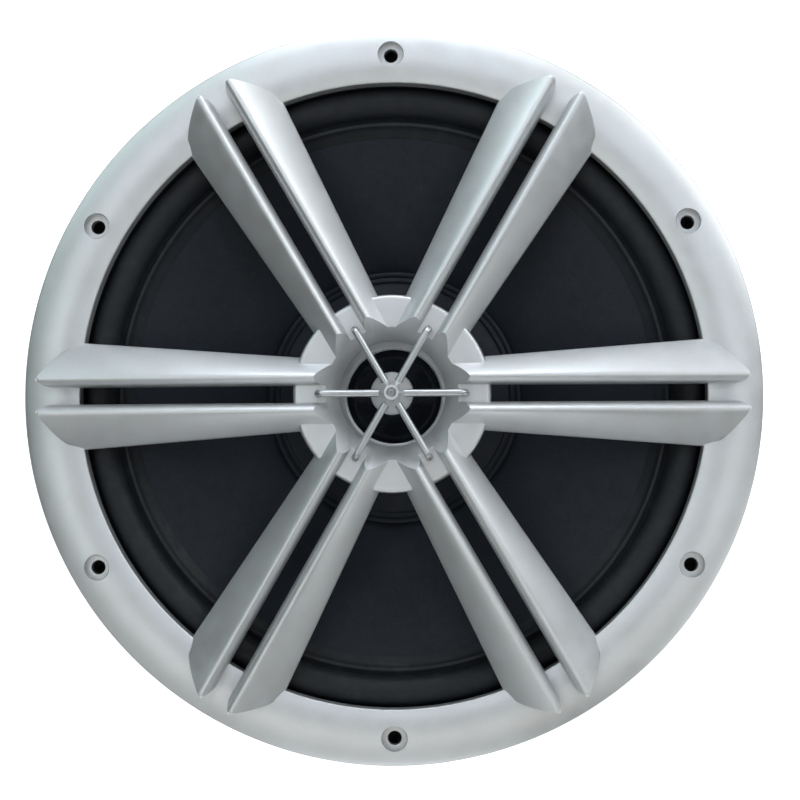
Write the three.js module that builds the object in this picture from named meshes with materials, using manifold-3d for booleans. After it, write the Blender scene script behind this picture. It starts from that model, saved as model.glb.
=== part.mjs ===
// A 12-inch car and marine subwoofer with a spoked, silver grille, built as separate pieces.
// Millimetres, +Z up along the cone's axis. The origin is the centre of the magnet cover's underside,
// so the loudspeaker stands on its magnet with the grille on top.
import * as THREE from "three";
import { mergeVertices } from "three/addons/utils/BufferGeometryUtils.js";
import Module from "manifold-3d";

const wasm = await Module();
wasm.setup();

// ---- Driving dimensions -------------------------------------------------------------------------

const SEGMENTS = 36; // facets of the grille, cone and basket: six times a whole number, as the grille repeats
const MOTOR_SEGMENTS = 24; // facets of the nested pieces of the motor
const SMALL_SEGMENTS = 12; // facets of screws, buttons and holes
const GAP = 0.3; // clearance between touching pieces
const SIXTH = Math.PI / 3; // the grille repeats six times

// Levels along the axis
const BOOT_TOP = 53;
const BACK_PLATE_TOP = 13.3;
const MAGNET_HEIGHT = 18;
const TOP_PLATE = { bottom: 50.2, top: 58.2 };
const SPIDER_SHELF = 90;
const FLANGE = { bottom: 141, top: 147 };
const LANDING = 143; // the ledge inside the flange that the surround is glued to
const GASKET_TOP = FLANGE.top + GAP + 1.2;
const RING_CREST = 159.6;
const RING_FALL = { inward: 1.9, outward: 2.2 }; // from the crest down to the ring's two edges
const HUB_FACE = 167;
const HUB_BACK = 156.5;

// Radii
const RIM_RADIUS = 162.5;
const OPENING_RADIUS = 137.8; // inner edge of the trim ring
const CREST_RADIUS = 149;
const BOLT_CIRCLE_RADIUS = 150.6;
const BOLT_COUNT = 6;
const BOLT_HOLE_RADIUS = 3;
const COUNTERBORE = { radius: 5.5, floor: 153.5 };
const HUB_RADIUS = 43.3;
const FUNNEL_FACE_RADIUS = 29.1; // where the 45 degree horn mouth meets the hub's front face
const THROAT_RADIUS = 23.2;
const POLE_RADIUS = 24;
const VENT_RADIUS = 10;
const FORMER_RADIUS = 25.2; // inner radius of the two-inch voice coil former
const MAGNET_RADIUS = 78;
const PLATE_RADIUS = 74;
const CONE_NECK = { radius: 26.1, height: 95.5 };
const CONE_RIM = { radius: 124, height: 141.8 };
const BASKET_SCREW_CIRCLE_RADIUS = 56;
const SKIRT_THICKNESS = 1.7; // the trim ring's skirt, which covers the flange's edge

// Grille blades: twelve, in six pairs with a slot down the middle of each pair
const SLOT_HALF_WIDTH = 3.8;
const BLADE_CREST_OFFSET = 7.3; // from the pair's centre line to the blade's crest
const BLADE_HUB_RADIUS = 27;
const BLADE_NOSE_RADIUS = 137; // the outline runs straight to here, then curves in to the tip
const BLADE_TIP_RADIUS = 155.8;
const BLADE_CREST_HEIGHT = 168.4; // where the nose starts
const BLADE_EDGE_HEIGHT = 157.2; // the outer edge's top, where it meets the ring
const BLADE_EDGE_THICKNESS = 2.4;
const BLADE_GAP_DROP = 4.8; // from the crest down to the wall of the slot
const BLADE_ROOT = 155; // a level inside the ring, which the nose's walls run down to

// Bullet and struts
const BULLET_NOSE = 179;
const STRUT_RADIUS = 1.6;
const STRUT_HEIGHT = 172.4;
const STRUT_HOLE_RADIUS = 32.1; // the struts enter the hub here
const STRUT_BEND = 2.4;
const SCREW_SEAT = { radius: 2.05, depth: 2.2 };

// Basket
const ARM_HALF_WIDTH = 9;
const VENT_PLACES = [0, 1, 2, 3, 5]; // the sixth place, at -Y, carries the terminal block

// Cone, dust cap and surround
const CONE_THICKNESS = 1.5;
const CAP_RADIUS = 57.2;
const CAP_TOP = 131;
const CAP_PLATEAU_RADIUS = 28.5;
const BEZEL = { inner: 21.2, outer: 28 };
const SURROUND = { inner: 124.4, outer: 138.2, lip: 146.2, foot: 116, thickness: 1.1, height: 6.6 };

// Terminals. The block hangs on the can, and its two push buttons face out.
const TERMINAL = {
  inner: -89.4,
  outer: -108,
  bottom: 67,
  top: 88,
  halfWidth: 19,
  earHalfWidth: 26,
  earThickness: 3,
  screwX: 22.2,
  screwZ: 76,
};
const BUTTON = { x: 10, z: 78.5, radius: 4.6, proud: 5 };
const SPRING = { radius: 3, wire: 0.4, turns: 4, length: 6.2 };
const TAB = { y: TERMINAL.inner - 3.2, halfWidth: 2.2, halfThickness: 0.5 };
const LEAD_RADIUS = 0.8;

// ---- Materials ----------------------------------------------------------------------------------

const finish = (color, roughness, metalness) =>
  new THREE.MeshStandardMaterial({ color, roughness, metalness });
const material = {
  silver: finish(0xc3c9cd, 0.35, 0.6),
  chrome: finish(0xd0d3d6, 0.18, 1.0),
  lens: finish(0x07080a, 0.08, 0.0),
  cone: finish(0x14161a, 0.45, 0.0),
  rubber: finish(0x17181b, 0.7, 0.0),
  foam: finish(0x1d1d1f, 0.95, 0.0),
  basket: finish(0x1a1b1d, 0.55, 0.0),
  cloth: finish(0xb08a4a, 0.9, 0.0),
  former: finish(0x1b1512, 0.5, 0.0),
  copper: finish(0xb4642f, 0.35, 1.0),
  plated: finish(0xa9abad, 0.35, 1.0),
  ferrite: finish(0x2b2b2d, 0.8, 0.0),
  aluminium: finish(0xb9bcc0, 0.3, 1.0),
  screw: finish(0x26272a, 0.4, 0.9),
  moulding: finish(0x141416, 0.5, 0.0),
  red: finish(0xa01a16, 0.4, 0.0),
  black: finish(0x101012, 0.4, 0.0),
  brass: finish(0xc9a24a, 0.3, 1.0),
  braid: finish(0xb8b2a4, 0.5, 0.8),
};

// ---- Geometry tools -----------------------------------------------------------------------------

// A three.js geometry as a closed manifold-3d solid with its faces pointing out.
function solidOf(geometry) {
  const bare = new THREE.BufferGeometry();
  const flat = geometry.index ? geometry.toNonIndexed() : geometry;
  bare.setAttribute("position", flat.getAttribute("position"));
  const merged = mergeVertices(bare, 1e-4);
  const corners = merged.index.array;
  const kept = [];
  for (let i = 0; i < corners.length; i += 3) {
    const [a, b, c] = [corners[i], corners[i + 1], corners[i + 2]];
    if (a !== b && b !== c && c !== a) kept.push(a, b, c);
  }
  const build = (triangles) =>
    new wasm.Manifold(
      new wasm.Mesh({
        numProp: 3,
        vertProperties: merged.attributes.position.array,
        triVerts: new Uint32Array(triangles),
      }),
    );
  const made = build(kept);
  return made.volume() < 0 ? build([...kept].reverse()) : made;
}

// A manifold-3d solid back as a three.js geometry.
function geometryOf(solid) {
  const mesh = solid.getMesh();
  const geometry = new THREE.BufferGeometry();
  geometry.setAttribute("position", new THREE.BufferAttribute(mesh.vertProperties, 3));
  geometry.setIndex(new THREE.BufferAttribute(mesh.triVerts, 1));
  geometry.computeVertexNormals();
  return geometry;
}

// A solid of revolution about Z from [radius, height] points. A ring's outline closes on itself.
function lathe(outline, segments = SEGMENTS) {
  const points = outline.map(([radius, height]) => new THREE.Vector2(radius, height));
  const onAxis = outline[0][0] === 0 && outline.at(-1)[0] === 0;
  if (!onAxis) points.push(points[0].clone());
  return solidOf(new THREE.LatheGeometry(points, segments).rotateX(Math.PI / 2));
}

// A plain ring or washer.
const washer = (inner, outer, bottom, top, segments = SEGMENTS) =>
  lathe(
    [
      [inner, bottom],
      [outer, bottom],
      [outer, top],
      [inner, top],
    ],
    segments,
  );

// A cylinder along Z between two levels, centred at x, y.
function post(radius, bottom, top, x = 0, y = 0, segments = SMALL_SEGMENTS) {
  const cylinder = new THREE.CylinderGeometry(radius, radius, top - bottom, segments);
  return solidOf(cylinder.rotateX(Math.PI / 2).translate(x, y, (bottom + top) / 2));
}

// A box from its lowest to its highest corner.
function block([x0, y0, z0], [x1, y1, z1]) {
  const box = new THREE.BoxGeometry(x1 - x0, y1 - y0, z1 - z0);
  return solidOf(box.translate((x0 + x1) / 2, (y0 + y1) / 2, (z0 + z1) / 2));
}

// A round rod that follows a curve.
function rod(curve, radius, sides, steps) {
  const section = new THREE.Shape();
  for (let i = 0; i < sides; i++) {
    const angle = (i / sides) * 2 * Math.PI;
    const point = [radius * Math.cos(angle), radius * Math.sin(angle)];
    if (i === 0) section.moveTo(...point);
    else section.lineTo(...point);
  }
  return solidOf(new THREE.ExtrudeGeometry(section, { extrudePath: curve, steps, bevelEnabled: false }));
}

const turned = (solid, angle) => solid.rotate([0, 0, THREE.MathUtils.radToDeg(angle)]);
const polar = (radius, angle) => [radius * Math.cos(angle), radius * Math.sin(angle)];
const boltAngle = (i) => SIXTH * (i + 0.5);
const cutAll = (solid, cutters) => cutters.reduce((left, cutter) => left.subtract(cutter), solid);
const sixfold = (make) => Array.from({ length: 6 }, (_, i) => make(i));

const subwoofer = new THREE.Group();
subwoofer.name = "subwoofer";

function add(name, solid, surface) {
  const mesh = new THREE.Mesh(geometryOf(solid), surface);
  mesh.name = name;
  subwoofer.add(mesh);
}

// ---- Grille: trim ring, hub and blades ----------------------------------------------------------

// Height of the ring's rounded top at a radius: two parabolas that meet at the crest.
function ringTop(radius) {
  const outward = radius > CREST_RADIUS;
  const span = outward ? RIM_RADIUS - CREST_RADIUS : CREST_RADIUS - OPENING_RADIUS;
  const fall = outward ? RING_FALL.outward : RING_FALL.inward;
  return RING_CREST - fall * ((radius - CREST_RADIUS) / span) ** 2;
}

// The ring's outline, grown by a margin where a blade is cut away from it.
function ringOutline(margin = 0) {
  const skirtBottom = FLANGE.bottom + GAP;
  const rounding = 1.2; // of the outer edge
  const crown = [RIM_RADIUS - rounding, 156, CREST_RADIUS, 143];
  return [
    [OPENING_RADIUS - margin, GASKET_TOP + GAP],
    [RIM_RADIUS - SKIRT_THICKNESS, GASKET_TOP + GAP],
    [RIM_RADIUS - SKIRT_THICKNESS, skirtBottom],
    [RIM_RADIUS, skirtBottom],
    [RIM_RADIUS, ringTop(RIM_RADIUS) - rounding],
    ...crown.map((radius) => [radius, ringTop(radius) + margin]),
    [OPENING_RADIUS - margin, ringTop(OPENING_RADIUS) + margin],
  ];
}

function trimRing() {
  const { radius, floor } = COUNTERBORE;
  const above = RING_CREST + 5;
  const place = (i) => polar(BOLT_CIRCLE_RADIUS, boltAngle(i));
  const counterbores = sixfold((i) => post(radius, floor, above, ...place(i)));
  const holes = sixfold((i) => post(BOLT_HOLE_RADIUS, FLANGE.top, above, ...place(i), 8));
  return cutAll(lathe(ringOutline()), [...counterbores, ...holes]);
}

// The hub is a disc with a rounded edge, and a horn mouth that narrows to the throat.
function hubOutline(margin = 0) {
  const face = HUB_FACE + margin;
  const throatHeight = HUB_FACE - (FUNNEL_FACE_RADIUS - THROAT_RADIUS);
  return [
    [THROAT_RADIUS + 0.8, HUB_BACK],
    [HUB_RADIUS - 0.6 + margin, HUB_BACK - margin],
    [HUB_RADIUS + margin, HUB_BACK + 0.6],
    [HUB_RADIUS + margin, HUB_FACE - 2.6],
    [HUB_RADIUS - 0.8 + margin, HUB_FACE - 0.8 + margin],
    [HUB_RADIUS - 2.6, face],
    [FUNNEL_FACE_RADIUS, face],
    [THROAT_RADIUS, throatHeight],
  ];
}

function hubCollar() {
  const strutHoles = sixfold((i) =>
    post(STRUT_RADIUS + GAP, HUB_FACE - 3, HUB_FACE + 5, ...polar(STRUT_HOLE_RADIUS, SIXTH * i), 12),
  );
  return cutAll(lathe(hubOutline()), strutHoles);
}

// The 45 degree cone that trims the blades around the horn mouth.
function hornCutter() {
  const [bottomRadius, reach] = [10, 20];
  return lathe([
    [0, HUB_FACE - (FUNNEL_FACE_RADIUS - bottomRadius)],
    [bottomRadius, HUB_FACE - (FUNNEL_FACE_RADIUS - bottomRadius)],
    [FUNNEL_FACE_RADIUS + reach, HUB_FACE + reach],
    [0, HUB_FACE + reach],
  ]);
}

// How far along the blade's nose a radius lies: 0 where the nose starts, 1 at the tip.
const alongNose = (radius) =>
  THREE.MathUtils.clamp((radius - BLADE_NOSE_RADIUS) / (BLADE_TIP_RADIUS - BLADE_NOSE_RADIUS), 0, 1);

// A blade's upper surface at a radius: a rounded face from the slot's wall up to the crest, then a long
// slope to the outer edge. The nose keeps that surface and only trims its outline.
function bladeTop(radius, offset) {
  const straight = Math.min(radius, BLADE_NOSE_RADIUS);
  const crest = BLADE_CREST_HEIGHT + (BLADE_NOSE_RADIUS - straight) * 0.04;
  const edge = BLADE_EDGE_HEIGHT + (OPENING_RADIUS - Math.min(radius, OPENING_RADIUS)) * 0.062;
  if (offset < BLADE_CREST_OFFSET) {
    const across = (BLADE_CREST_OFFSET - offset) / (BLADE_CREST_OFFSET - SLOT_HALF_WIDTH);
    return crest - BLADE_GAP_DROP * (1 - Math.sqrt(Math.max(0, 1 - across ** 2)));
  }
  const across = (offset - BLADE_CREST_OFFSET) / (bladeHalfWidth(straight) - BLADE_CREST_OFFSET);
  return crest - (crest - edge) * (0.75 * across + 0.25 * across ** 2);
}

const bladeHalfWidth = (radius) => 13.1 + 0.077 * radius;

// The two sides of a blade's outline, as offsets from the pair's centre line.
function bladeSides(radius) {
  const full = bladeHalfWidth(Math.min(radius, BLADE_NOSE_RADIUS));
  const outer = BLADE_CREST_OFFSET + (full - BLADE_CREST_OFFSET) * (1 - alongNose(radius) ** 1.65);
  const inward = Math.max(0, (alongNose(radius) - 0.62) / 0.38);
  const inner = SLOT_HALF_WIDTH + (BLADE_CREST_OFFSET - SLOT_HALF_WIDTH - 0.4) * inward ** 2;
  return [inner, Math.max(outer, BLADE_CREST_OFFSET + 0.1)];
}

// A blade's section in a unit space. Across, 0 is the slot's wall, 1 the crest and 2 the outer edge.
// Up, 0 is the underside and 1 the upper surface.
const BLADE_SECTION = [
  [0, 0],
  [1.96, 0],
  [2, 0.3],
  [1.96, 1],
  [1.5, 1],
  [1, 1],
  [0.6, 1],
  [0.25, 1],
  [0, 1],
];
const STRAIGHT_STEPS = 3;
const NOSE_STEPS = 6;

// The radius of each step along a blade. Steps grow shorter towards the tip.
function bladeStation(step) {
  if (step <= STRAIGHT_STEPS) {
    return THREE.MathUtils.lerp(BLADE_HUB_RADIUS, BLADE_NOSE_RADIUS, step / STRAIGHT_STEPS);
  }
  const turn = (((step - STRAIGHT_STEPS) / NOSE_STEPS) * Math.PI) / 2;
  return BLADE_NOSE_RADIUS + (BLADE_TIP_RADIUS - BLADE_NOSE_RADIUS) * Math.sin(turn);
}

function blade(pair, side) {
  const steps = STRAIGHT_STEPS + NOSE_STEPS;
  const outline = new THREE.Shape(BLADE_SECTION.map(([across, up]) => new THREE.Vector2(across, up)));
  const geometry = new THREE.ExtrudeGeometry(outline, { depth: steps, steps, bevelEnabled: false });
  const position = geometry.getAttribute("position");
  for (let i = 0; i < position.count; i++) {
    const [across, up] = [position.getX(i), position.getY(i)];
    const radius = bladeStation(Math.round(position.getZ(i)));
    const [inner, outer] = bladeSides(radius);
    const offset =
      across < 1
        ? THREE.MathUtils.lerp(inner, BLADE_CREST_OFFSET, across)
        : THREE.MathUtils.lerp(BLADE_CREST_OFFSET, outer, across - 1);
    const edge = bladeTop(radius, bladeHalfWidth(Math.min(radius, BLADE_NOSE_RADIUS)));
    const bottom = radius > BLADE_NOSE_RADIUS ? BLADE_ROOT : edge - BLADE_EDGE_THICKNESS;
    const height = THREE.MathUtils.lerp(bottom, bladeTop(radius, offset), up);
    position.setXYZ(i, radius, side * offset, height);
  }
  const trimmed = cutAll(solidOf(geometry), [
    lathe(ringOutline(GAP)),
    lathe(hubOutline(GAP)),
    hornCutter(),
  ]);
  const [largest] = trimmed.decompose().sort((a, b) => b.volume() - a.volume());
  return turned(largest, SIXTH * pair);
}

// ---- Bullet and its struts ----------------------------------------------------------------------

// A dome over a flared skirt. The struts enter sockets in its side, and a screw holds it from the front.
function bullet() {
  const body = lathe(
    [
      [0, 161],
      [6, 162],
      [9.4, 167.2],
      [8.9, 168.5],
      [7.2, 171.2],
      [5.3, 174.3],
      [3.9, 177],
      [2.8, BULLET_NOSE],
      [0, BULLET_NOSE],
    ],
    18,
  );
  const above = BULLET_NOSE + 3;
  const screwSeat = post(SCREW_SEAT.radius, BULLET_NOSE - SCREW_SEAT.depth, above);
  const screwBore = post(1.5, 168, above);
  const [socketDepth, socketLength] = [3.4, 9];
  const sockets = sixfold((i) => {
    const socket = new THREE.CylinderGeometry(STRUT_RADIUS + GAP, STRUT_RADIUS + GAP, socketLength, 8);
    const placed = socket.rotateZ(Math.PI / 2).translate(socketDepth + socketLength / 2, 0, STRUT_HEIGHT);
    return turned(solidOf(placed), SIXTH * i);
  });
  return cutAll(body, [screwSeat, screwBore, ...sockets]);
}

// A hexagon socket head screw.
function bulletScrew() {
  const headTop = BULLET_NOSE - GAP;
  const seat = BULLET_NOSE - SCREW_SEAT.depth + GAP;
  const head = post(1.5, seat, headTop);
  const shank = post(1.15, 169, seat + 0.5);
  const socket = post(0.9, headTop - 1, headTop + 1, 0, 0, 6);
  return head.add(shank).subtract(socket);
}

// A strut is a bent rod: out of the bullet, over the horn mouth and down into the hub.
function strut(i) {
  const path = new THREE.CurvePath();
  const inner = new THREE.Vector3(3.8, 0, STRUT_HEIGHT);
  const before = new THREE.Vector3(STRUT_HOLE_RADIUS - STRUT_BEND, 0, STRUT_HEIGHT);
  const corner = new THREE.Vector3(STRUT_HOLE_RADIUS, 0, STRUT_HEIGHT);
  const after = new THREE.Vector3(STRUT_HOLE_RADIUS, 0, STRUT_HEIGHT - STRUT_BEND);
  const foot = new THREE.Vector3(STRUT_HOLE_RADIUS, 0, HUB_FACE - 2.6);
  path.add(new THREE.LineCurve3(inner, before));
  path.add(new THREE.QuadraticBezierCurve3(before, corner, after));
  path.add(new THREE.LineCurve3(after, foot));
  return turned(rod(path, STRUT_RADIUS, 6, 8), SIXTH * i);
}

// ---- Basket and gaskets -------------------------------------------------------------------------

// The basket's bowl: base on the top plate, a can up to the spider's shelf, arms to the flange.
const BASKET_OUTLINE = [
  [160.5, FLANGE.top],
  [146.8, FLANGE.top],
  [146.8, LANDING],
  [139.2, LANDING],
  [138.2, 126],
  [130, 113],
  [84, SPIDER_SHELF + 3],
  [80.5, SPIDER_SHELF],
  [73, SPIDER_SHELF],
  [77, SPIDER_SHELF - 6],
  [66, 62],
  [36, 62],
  [36, TOP_PLATE.top + GAP],
  [69, TOP_PLATE.top + GAP],
  [81, SPIDER_SHELF - 6],
  [88, SPIDER_SHELF],
  [134, 110],
  [142, 125],
  [143, FLANGE.bottom],
  [160.5, FLANGE.bottom],
];

// A window between two arms: a wedge whose sides run parallel to the arms beside it.
function basketWindow(i) {
  const clear = 2 * ARM_HALF_WIDTH;
  const [near, far] = [91.5, 156];
  const half = (radius) => (radius - clear) * Math.tan(SIXTH / 2);
  const wedge = new THREE.Shape([
    new THREE.Vector2(near, -half(near)),
    new THREE.Vector2(far, -half(far)),
    new THREE.Vector2(far, half(far)),
    new THREE.Vector2(near, half(near)),
  ]);
  const cutter = new THREE.ExtrudeGeometry(wedge, { depth: 49, bevelEnabled: false }).translate(0, 0, 86);
  return turned(solidOf(cutter), boltAngle(i));
}

// A cooling vent in the can, under the spider.
const canVent = (i) => turned(block([60, -13, 67], [95, 13, 81]), boltAngle(i));

// The flat pad on the can that the terminal block is screwed to.
function terminalPad() {
  const pad = block([-25, TERMINAL.inner + GAP, 66], [25, -66, 88]);
  const holes = [-1, 1].map((side) => crossPost(1.6, -95, -76, side * TERMINAL.screwX, TERMINAL.screwZ, 8));
  return cutAll(pad.subtract(lathe(CAN_INSIDE)), holes);
}

// The space inside the can and the bowl.
const CAN_INSIDE = [
  [0, 60],
  [66, 62],
  [77, SPIDER_SHELF - 6],
  [77, SPIDER_SHELF],
  [0, SPIDER_SHELF],
];

// A stiffening rib along the outside of each arm.
function armRib(i) {
  const profile = new THREE.Shape([
    new THREE.Vector2(86, SPIDER_SHELF + 1.5),
    new THREE.Vector2(80, 80),
    new THREE.Vector2(138, 104),
    new THREE.Vector2(144.6, 122),
    new THREE.Vector2(144.6, FLANGE.bottom + 1),
    new THREE.Vector2(141, FLANGE.bottom + 1),
    new THREE.Vector2(140, 125),
    new THREE.Vector2(132, 111),
  ]);
  const rib = new THREE.ExtrudeGeometry(profile, { depth: 4, bevelEnabled: false });
  return turned(solidOf(rib.rotateX(Math.PI / 2).translate(0, 2, 0)), SIXTH * i);
}

function basket() {
  const bowl = sixfold(armRib).reduce((whole, rib) => whole.add(rib), lathe(BASKET_OUTLINE));
  const vented = cutAll(bowl, [...sixfold(basketWindow), ...VENT_PLACES.map(canVent)]).add(terminalPad());
  const flangeHoles = sixfold((i) =>
    post(BOLT_HOLE_RADIUS, FLANGE.bottom - 5, FLANGE.top + 5, ...polar(BOLT_CIRCLE_RADIUS, boltAngle(i))),
  );
  const screwHoles = sixfold((i) => post(2.4, 50, 70, ...polar(BASKET_SCREW_CIRCLE_RADIUS, SIXTH * i), 8));
  return cutAll(vented, [...flangeHoles, ...screwHoles]);
}

function basketScrew(i) {
  const [x, y] = polar(BASKET_SCREW_CIRCLE_RADIUS, SIXTH * i);
  const head = post(4, 62 + GAP, 65, x, y, 8);
  const shank = post(1.9, 54, 63, x, y, 6);
  const drive = post(1.6, 63.6, 66, x, y, 6);
  return head.add(shank).subtract(drive);
}

// The foam under the flange has no holes: the mounting screws pierce it.
const mountingGasket = () => washer(146, 160, FLANGE.bottom - GAP - 3, FLANGE.bottom - GAP);

function grilleGasket() {
  const ring = washer(146.6, 158.5, FLANGE.top + GAP, GASKET_TOP);
  const place = (i) => polar(BOLT_CIRCLE_RADIUS, boltAngle(i));
  return cutAll(ring, sixfold((i) => post(BOLT_HOLE_RADIUS, FLANGE.top, GASKET_TOP + 1, ...place(i), 8)));
}

// ---- Moving parts: cone, dust cap, voice coil and their suspension ------------------------------

// Height of the cone's front surface: steep at the neck, shallow at the rim.
function coneHeight(radius) {
  const along = (radius - CONE_NECK.radius) / (CONE_RIM.radius - CONE_NECK.radius);
  const rise = CONE_RIM.height - CONE_NECK.height - 3;
  return CONE_NECK.height + 3 + rise * along ** 0.52;
}

function cone() {
  const radii = [27.6, 34, 50, 80, CONE_RIM.radius];
  const front = radii.map((radius) => [radius, coneHeight(radius)]);
  const back = radii.slice(1).map((radius) => [radius, coneHeight(radius) - CONE_THICKNESS]);
  return lathe([
    [CONE_NECK.radius, CONE_NECK.height],
    [27.6, CONE_NECK.height],
    ...back,
    ...front.reverse(),
    [CONE_NECK.radius, coneHeight(27.6) - 1],
  ]);
}

// A shallow dome with a flat seat for the bezel, glued to the cone at a rim with two beads.
function dustCap() {
  const foot = coneHeight(CAP_RADIUS) + GAP + 0.4;
  const shell = 1.2;
  return lathe([
    [0, CAP_TOP - shell],
    [CAP_PLATEAU_RADIUS, CAP_TOP - shell],
    [40, CAP_TOP - 2.9],
    [CAP_RADIUS - 5, foot],
    [CAP_RADIUS, foot],
    [CAP_RADIUS, foot + 1.2],
    [CAP_RADIUS - 1.4, foot + 1.8],
    [CAP_RADIUS - 2.9, foot + 1.2],
    [CAP_RADIUS - 4.3, foot + 2.7],
    [CAP_RADIUS - 5.9, foot + 1.9],
    [41, CAP_TOP - 1.6],
    [CAP_PLATEAU_RADIUS, CAP_TOP],
    [0, CAP_TOP],
  ]);
}

const dustCapBezel = () =>
  lathe([
    [BEZEL.inner, CAP_TOP + GAP],
    [BEZEL.outer, CAP_TOP + GAP],
    [BEZEL.outer - 0.6, CAP_TOP + 1.6],
    [BEZEL.inner + 0.8, CAP_TOP + 2.2],
    [BEZEL.inner, CAP_TOP + 1.8],
  ]);

const dustCapLens = () =>
  lathe([
    [0, CAP_TOP + GAP],
    [BEZEL.inner - GAP, CAP_TOP + GAP],
    [BEZEL.inner - GAP, CAP_TOP + 0.9],
    [11, CAP_TOP + 1.8],
    [0, CAP_TOP + 2.1],
  ]);

// The surround is a half roll between a lip on the cone's rim and a lip on the flange's landing.
function surround() {
  const { inner, outer, lip, foot, thickness, height } = SURROUND;
  const middle = (inner + outer) / 2;
  const half = (outer - inner) / 2;
  const base = CONE_RIM.height + GAP;
  const landing = LANDING + GAP;
  const roll = (offset, turns) =>
    turns.map((degrees) => {
      const angle = THREE.MathUtils.degToRad(degrees);
      const lift = ((middle - half * Math.cos(angle) - inner) / (outer - inner)) * (landing - base);
      return [middle - (half - offset) * Math.cos(angle), base + lift + (height - offset) * Math.sin(angle)];
    });
  return lathe([
    [foot, coneHeight(foot) + GAP],
    [inner - 0.5, base],
    ...roll(thickness, [25, 90, 155]),
    [lip, landing],
    [lip, landing + thickness],
    [outer + 0.3, landing + thickness],
    ...roll(0, [155, 90, 25]),
    [inner - 0.5, base + thickness],
    [foot, coneHeight(foot) + GAP + thickness],
  ]);
}

// The spider is a disc of corrugated cloth that centres the voice coil.
function spider() {
  const level = SPIDER_SHELF + GAP + 0.4;
  const corrugations = 2;
  const [start, end] = [31, 70];
  const wave = Array.from({ length: corrugations * 2 + 1 }, (_, i) => [
    start + ((end - start) * i) / (corrugations * 2),
    level + (i % 2 === 0 ? -1.6 : 1.6),
  ]);
  const inner = [FORMER_RADIUS + 0.9, level];
  const outer = [79.5, level];
  const line = [inner, ...wave, [73.6, level], outer];
  return lathe([
    ...line.map(([radius, height]) => [radius, height - 0.4]),
    ...[...line].reverse().map(([radius, height]) => [radius, height + 0.4]),
  ]);
}

const former = () => washer(FORMER_RADIUS, FORMER_RADIUS + 0.5, 37, 99, MOTOR_SEGMENTS);
const coilWinding = () => washer(FORMER_RADIUS + 0.8, FORMER_RADIUS + 2, 40.2, 68.2, MOTOR_SEGMENTS);

// ---- Motor --------------------------------------------------------------------------------------

const magnetAt = (bottom) => washer(35, MAGNET_RADIUS, bottom, bottom + MAGNET_HEIGHT, MOTOR_SEGMENTS);

const shortingRing = () => washer(POLE_RADIUS + 0.4, 30, BACK_PLATE_TOP + GAP, 19.5, MOTOR_SEGMENTS);

function topPlate() {
  const holes = sixfold((i) => post(2.3, 52.5, 70, ...polar(BASKET_SCREW_CIRCLE_RADIUS, SIXTH * i), 8));
  const plate = washer(28.6, PLATE_RADIUS, TOP_PLATE.bottom, TOP_PLATE.top, MOTOR_SEGMENTS);
  return cutAll(plate, holes);
}

// Back plate and pole in one piece, with a vent through the pole that flares at the back.
const tYoke = () =>
  lathe(
    [
      [VENT_RADIUS + 3.5, 3.3],
      [PLATE_RADIUS, 3.3],
      [PLATE_RADIUS, BACK_PLATE_TOP],
      [POLE_RADIUS, BACK_PLATE_TOP],
      [POLE_RADIUS, 61],
      [POLE_RADIUS - 1.5, 62.5],
      [VENT_RADIUS, 62.5],
      [VENT_RADIUS, 9],
    ],
    MOTOR_SEGMENTS,
  );

const magnetBoot = () =>
  lathe(
    [
      [14.5, 0],
      [80.5, 0],
      [82, 1.5],
      [82, BOOT_TOP],
      [PLATE_RADIUS + 0.6, BOOT_TOP],
      [PLATE_RADIUS + 0.6, TOP_PLATE.bottom + GAP],
      [MAGNET_RADIUS + 0.5, TOP_PLATE.bottom + GAP],
      [MAGNET_RADIUS + 0.5, 3],
      [14.5, 3],
    ],
    MOTOR_SEGMENTS,
  );

// ---- Terminals and leads ------------------------------------------------------------------------

// A cylinder along Y between two y values.
function crossPost(radius, near, far, x, z, segments = SMALL_SEGMENTS) {
  const cylinder = new THREE.CylinderGeometry(radius, radius, Math.abs(far - near), segments);
  return solidOf(cylinder.translate(x, (near + far) / 2, z));
}

function terminalBlock() {
  const { inner, outer, bottom, top, halfWidth, earHalfWidth, earThickness, screwX, screwZ } = TERMINAL;
  const body = block([-halfWidth, outer, bottom], [halfWidth, inner, top]);
  const ears = block([-earHalfWidth, inner - earThickness, screwZ - 5], [earHalfWidth, inner, screwZ + 5]);
  const divider = block([-1.2, outer - 5, bottom + 2], [1.2, outer + 1, top - 2]);
  const wells = [-1, 1].map((side) =>
    crossPost(BUTTON.radius + 0.4, outer + 13, outer - 3, side * BUTTON.x, BUTTON.z),
  );
  const wireHoles = [-1, 1].map((side) =>
    post(1.9, bottom - 2, BUTTON.z + 2, side * BUTTON.x, outer + 3, 12),
  );
  const tabSlots = [-1, 1].map((side) =>
    block([side * BUTTON.x - 2.6, inner - 4, top - 6], [side * BUTTON.x + 2.6, inner - 2.4, top + 2]),
  );
  const screwHoles = [-1, 1].map((side) => crossPost(1.9, inner + 2, inner - 5, side * screwX, screwZ, 8));
  return cutAll(body.add(ears).add(divider), [...wells, ...wireHoles, ...tabSlots, ...screwHoles]);
}

// A screw through the block's ear into the pad on the can.
function terminalScrew(side) {
  const { inner, earThickness, screwX, screwZ } = TERMINAL;
  const head = crossPost(3, inner - earThickness - GAP, inner - 5, side * screwX, screwZ, 10);
  const shank = crossPost(1.3, inner - 4, inner + 8.4, side * screwX, screwZ, 8);
  const slot = block(
    [side * screwX - 2.2, inner - 6, screwZ - 0.4],
    [side * screwX + 2.2, inner - 4.3, screwZ + 0.4],
  );
  return head.add(shank).subtract(slot);
}

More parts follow.
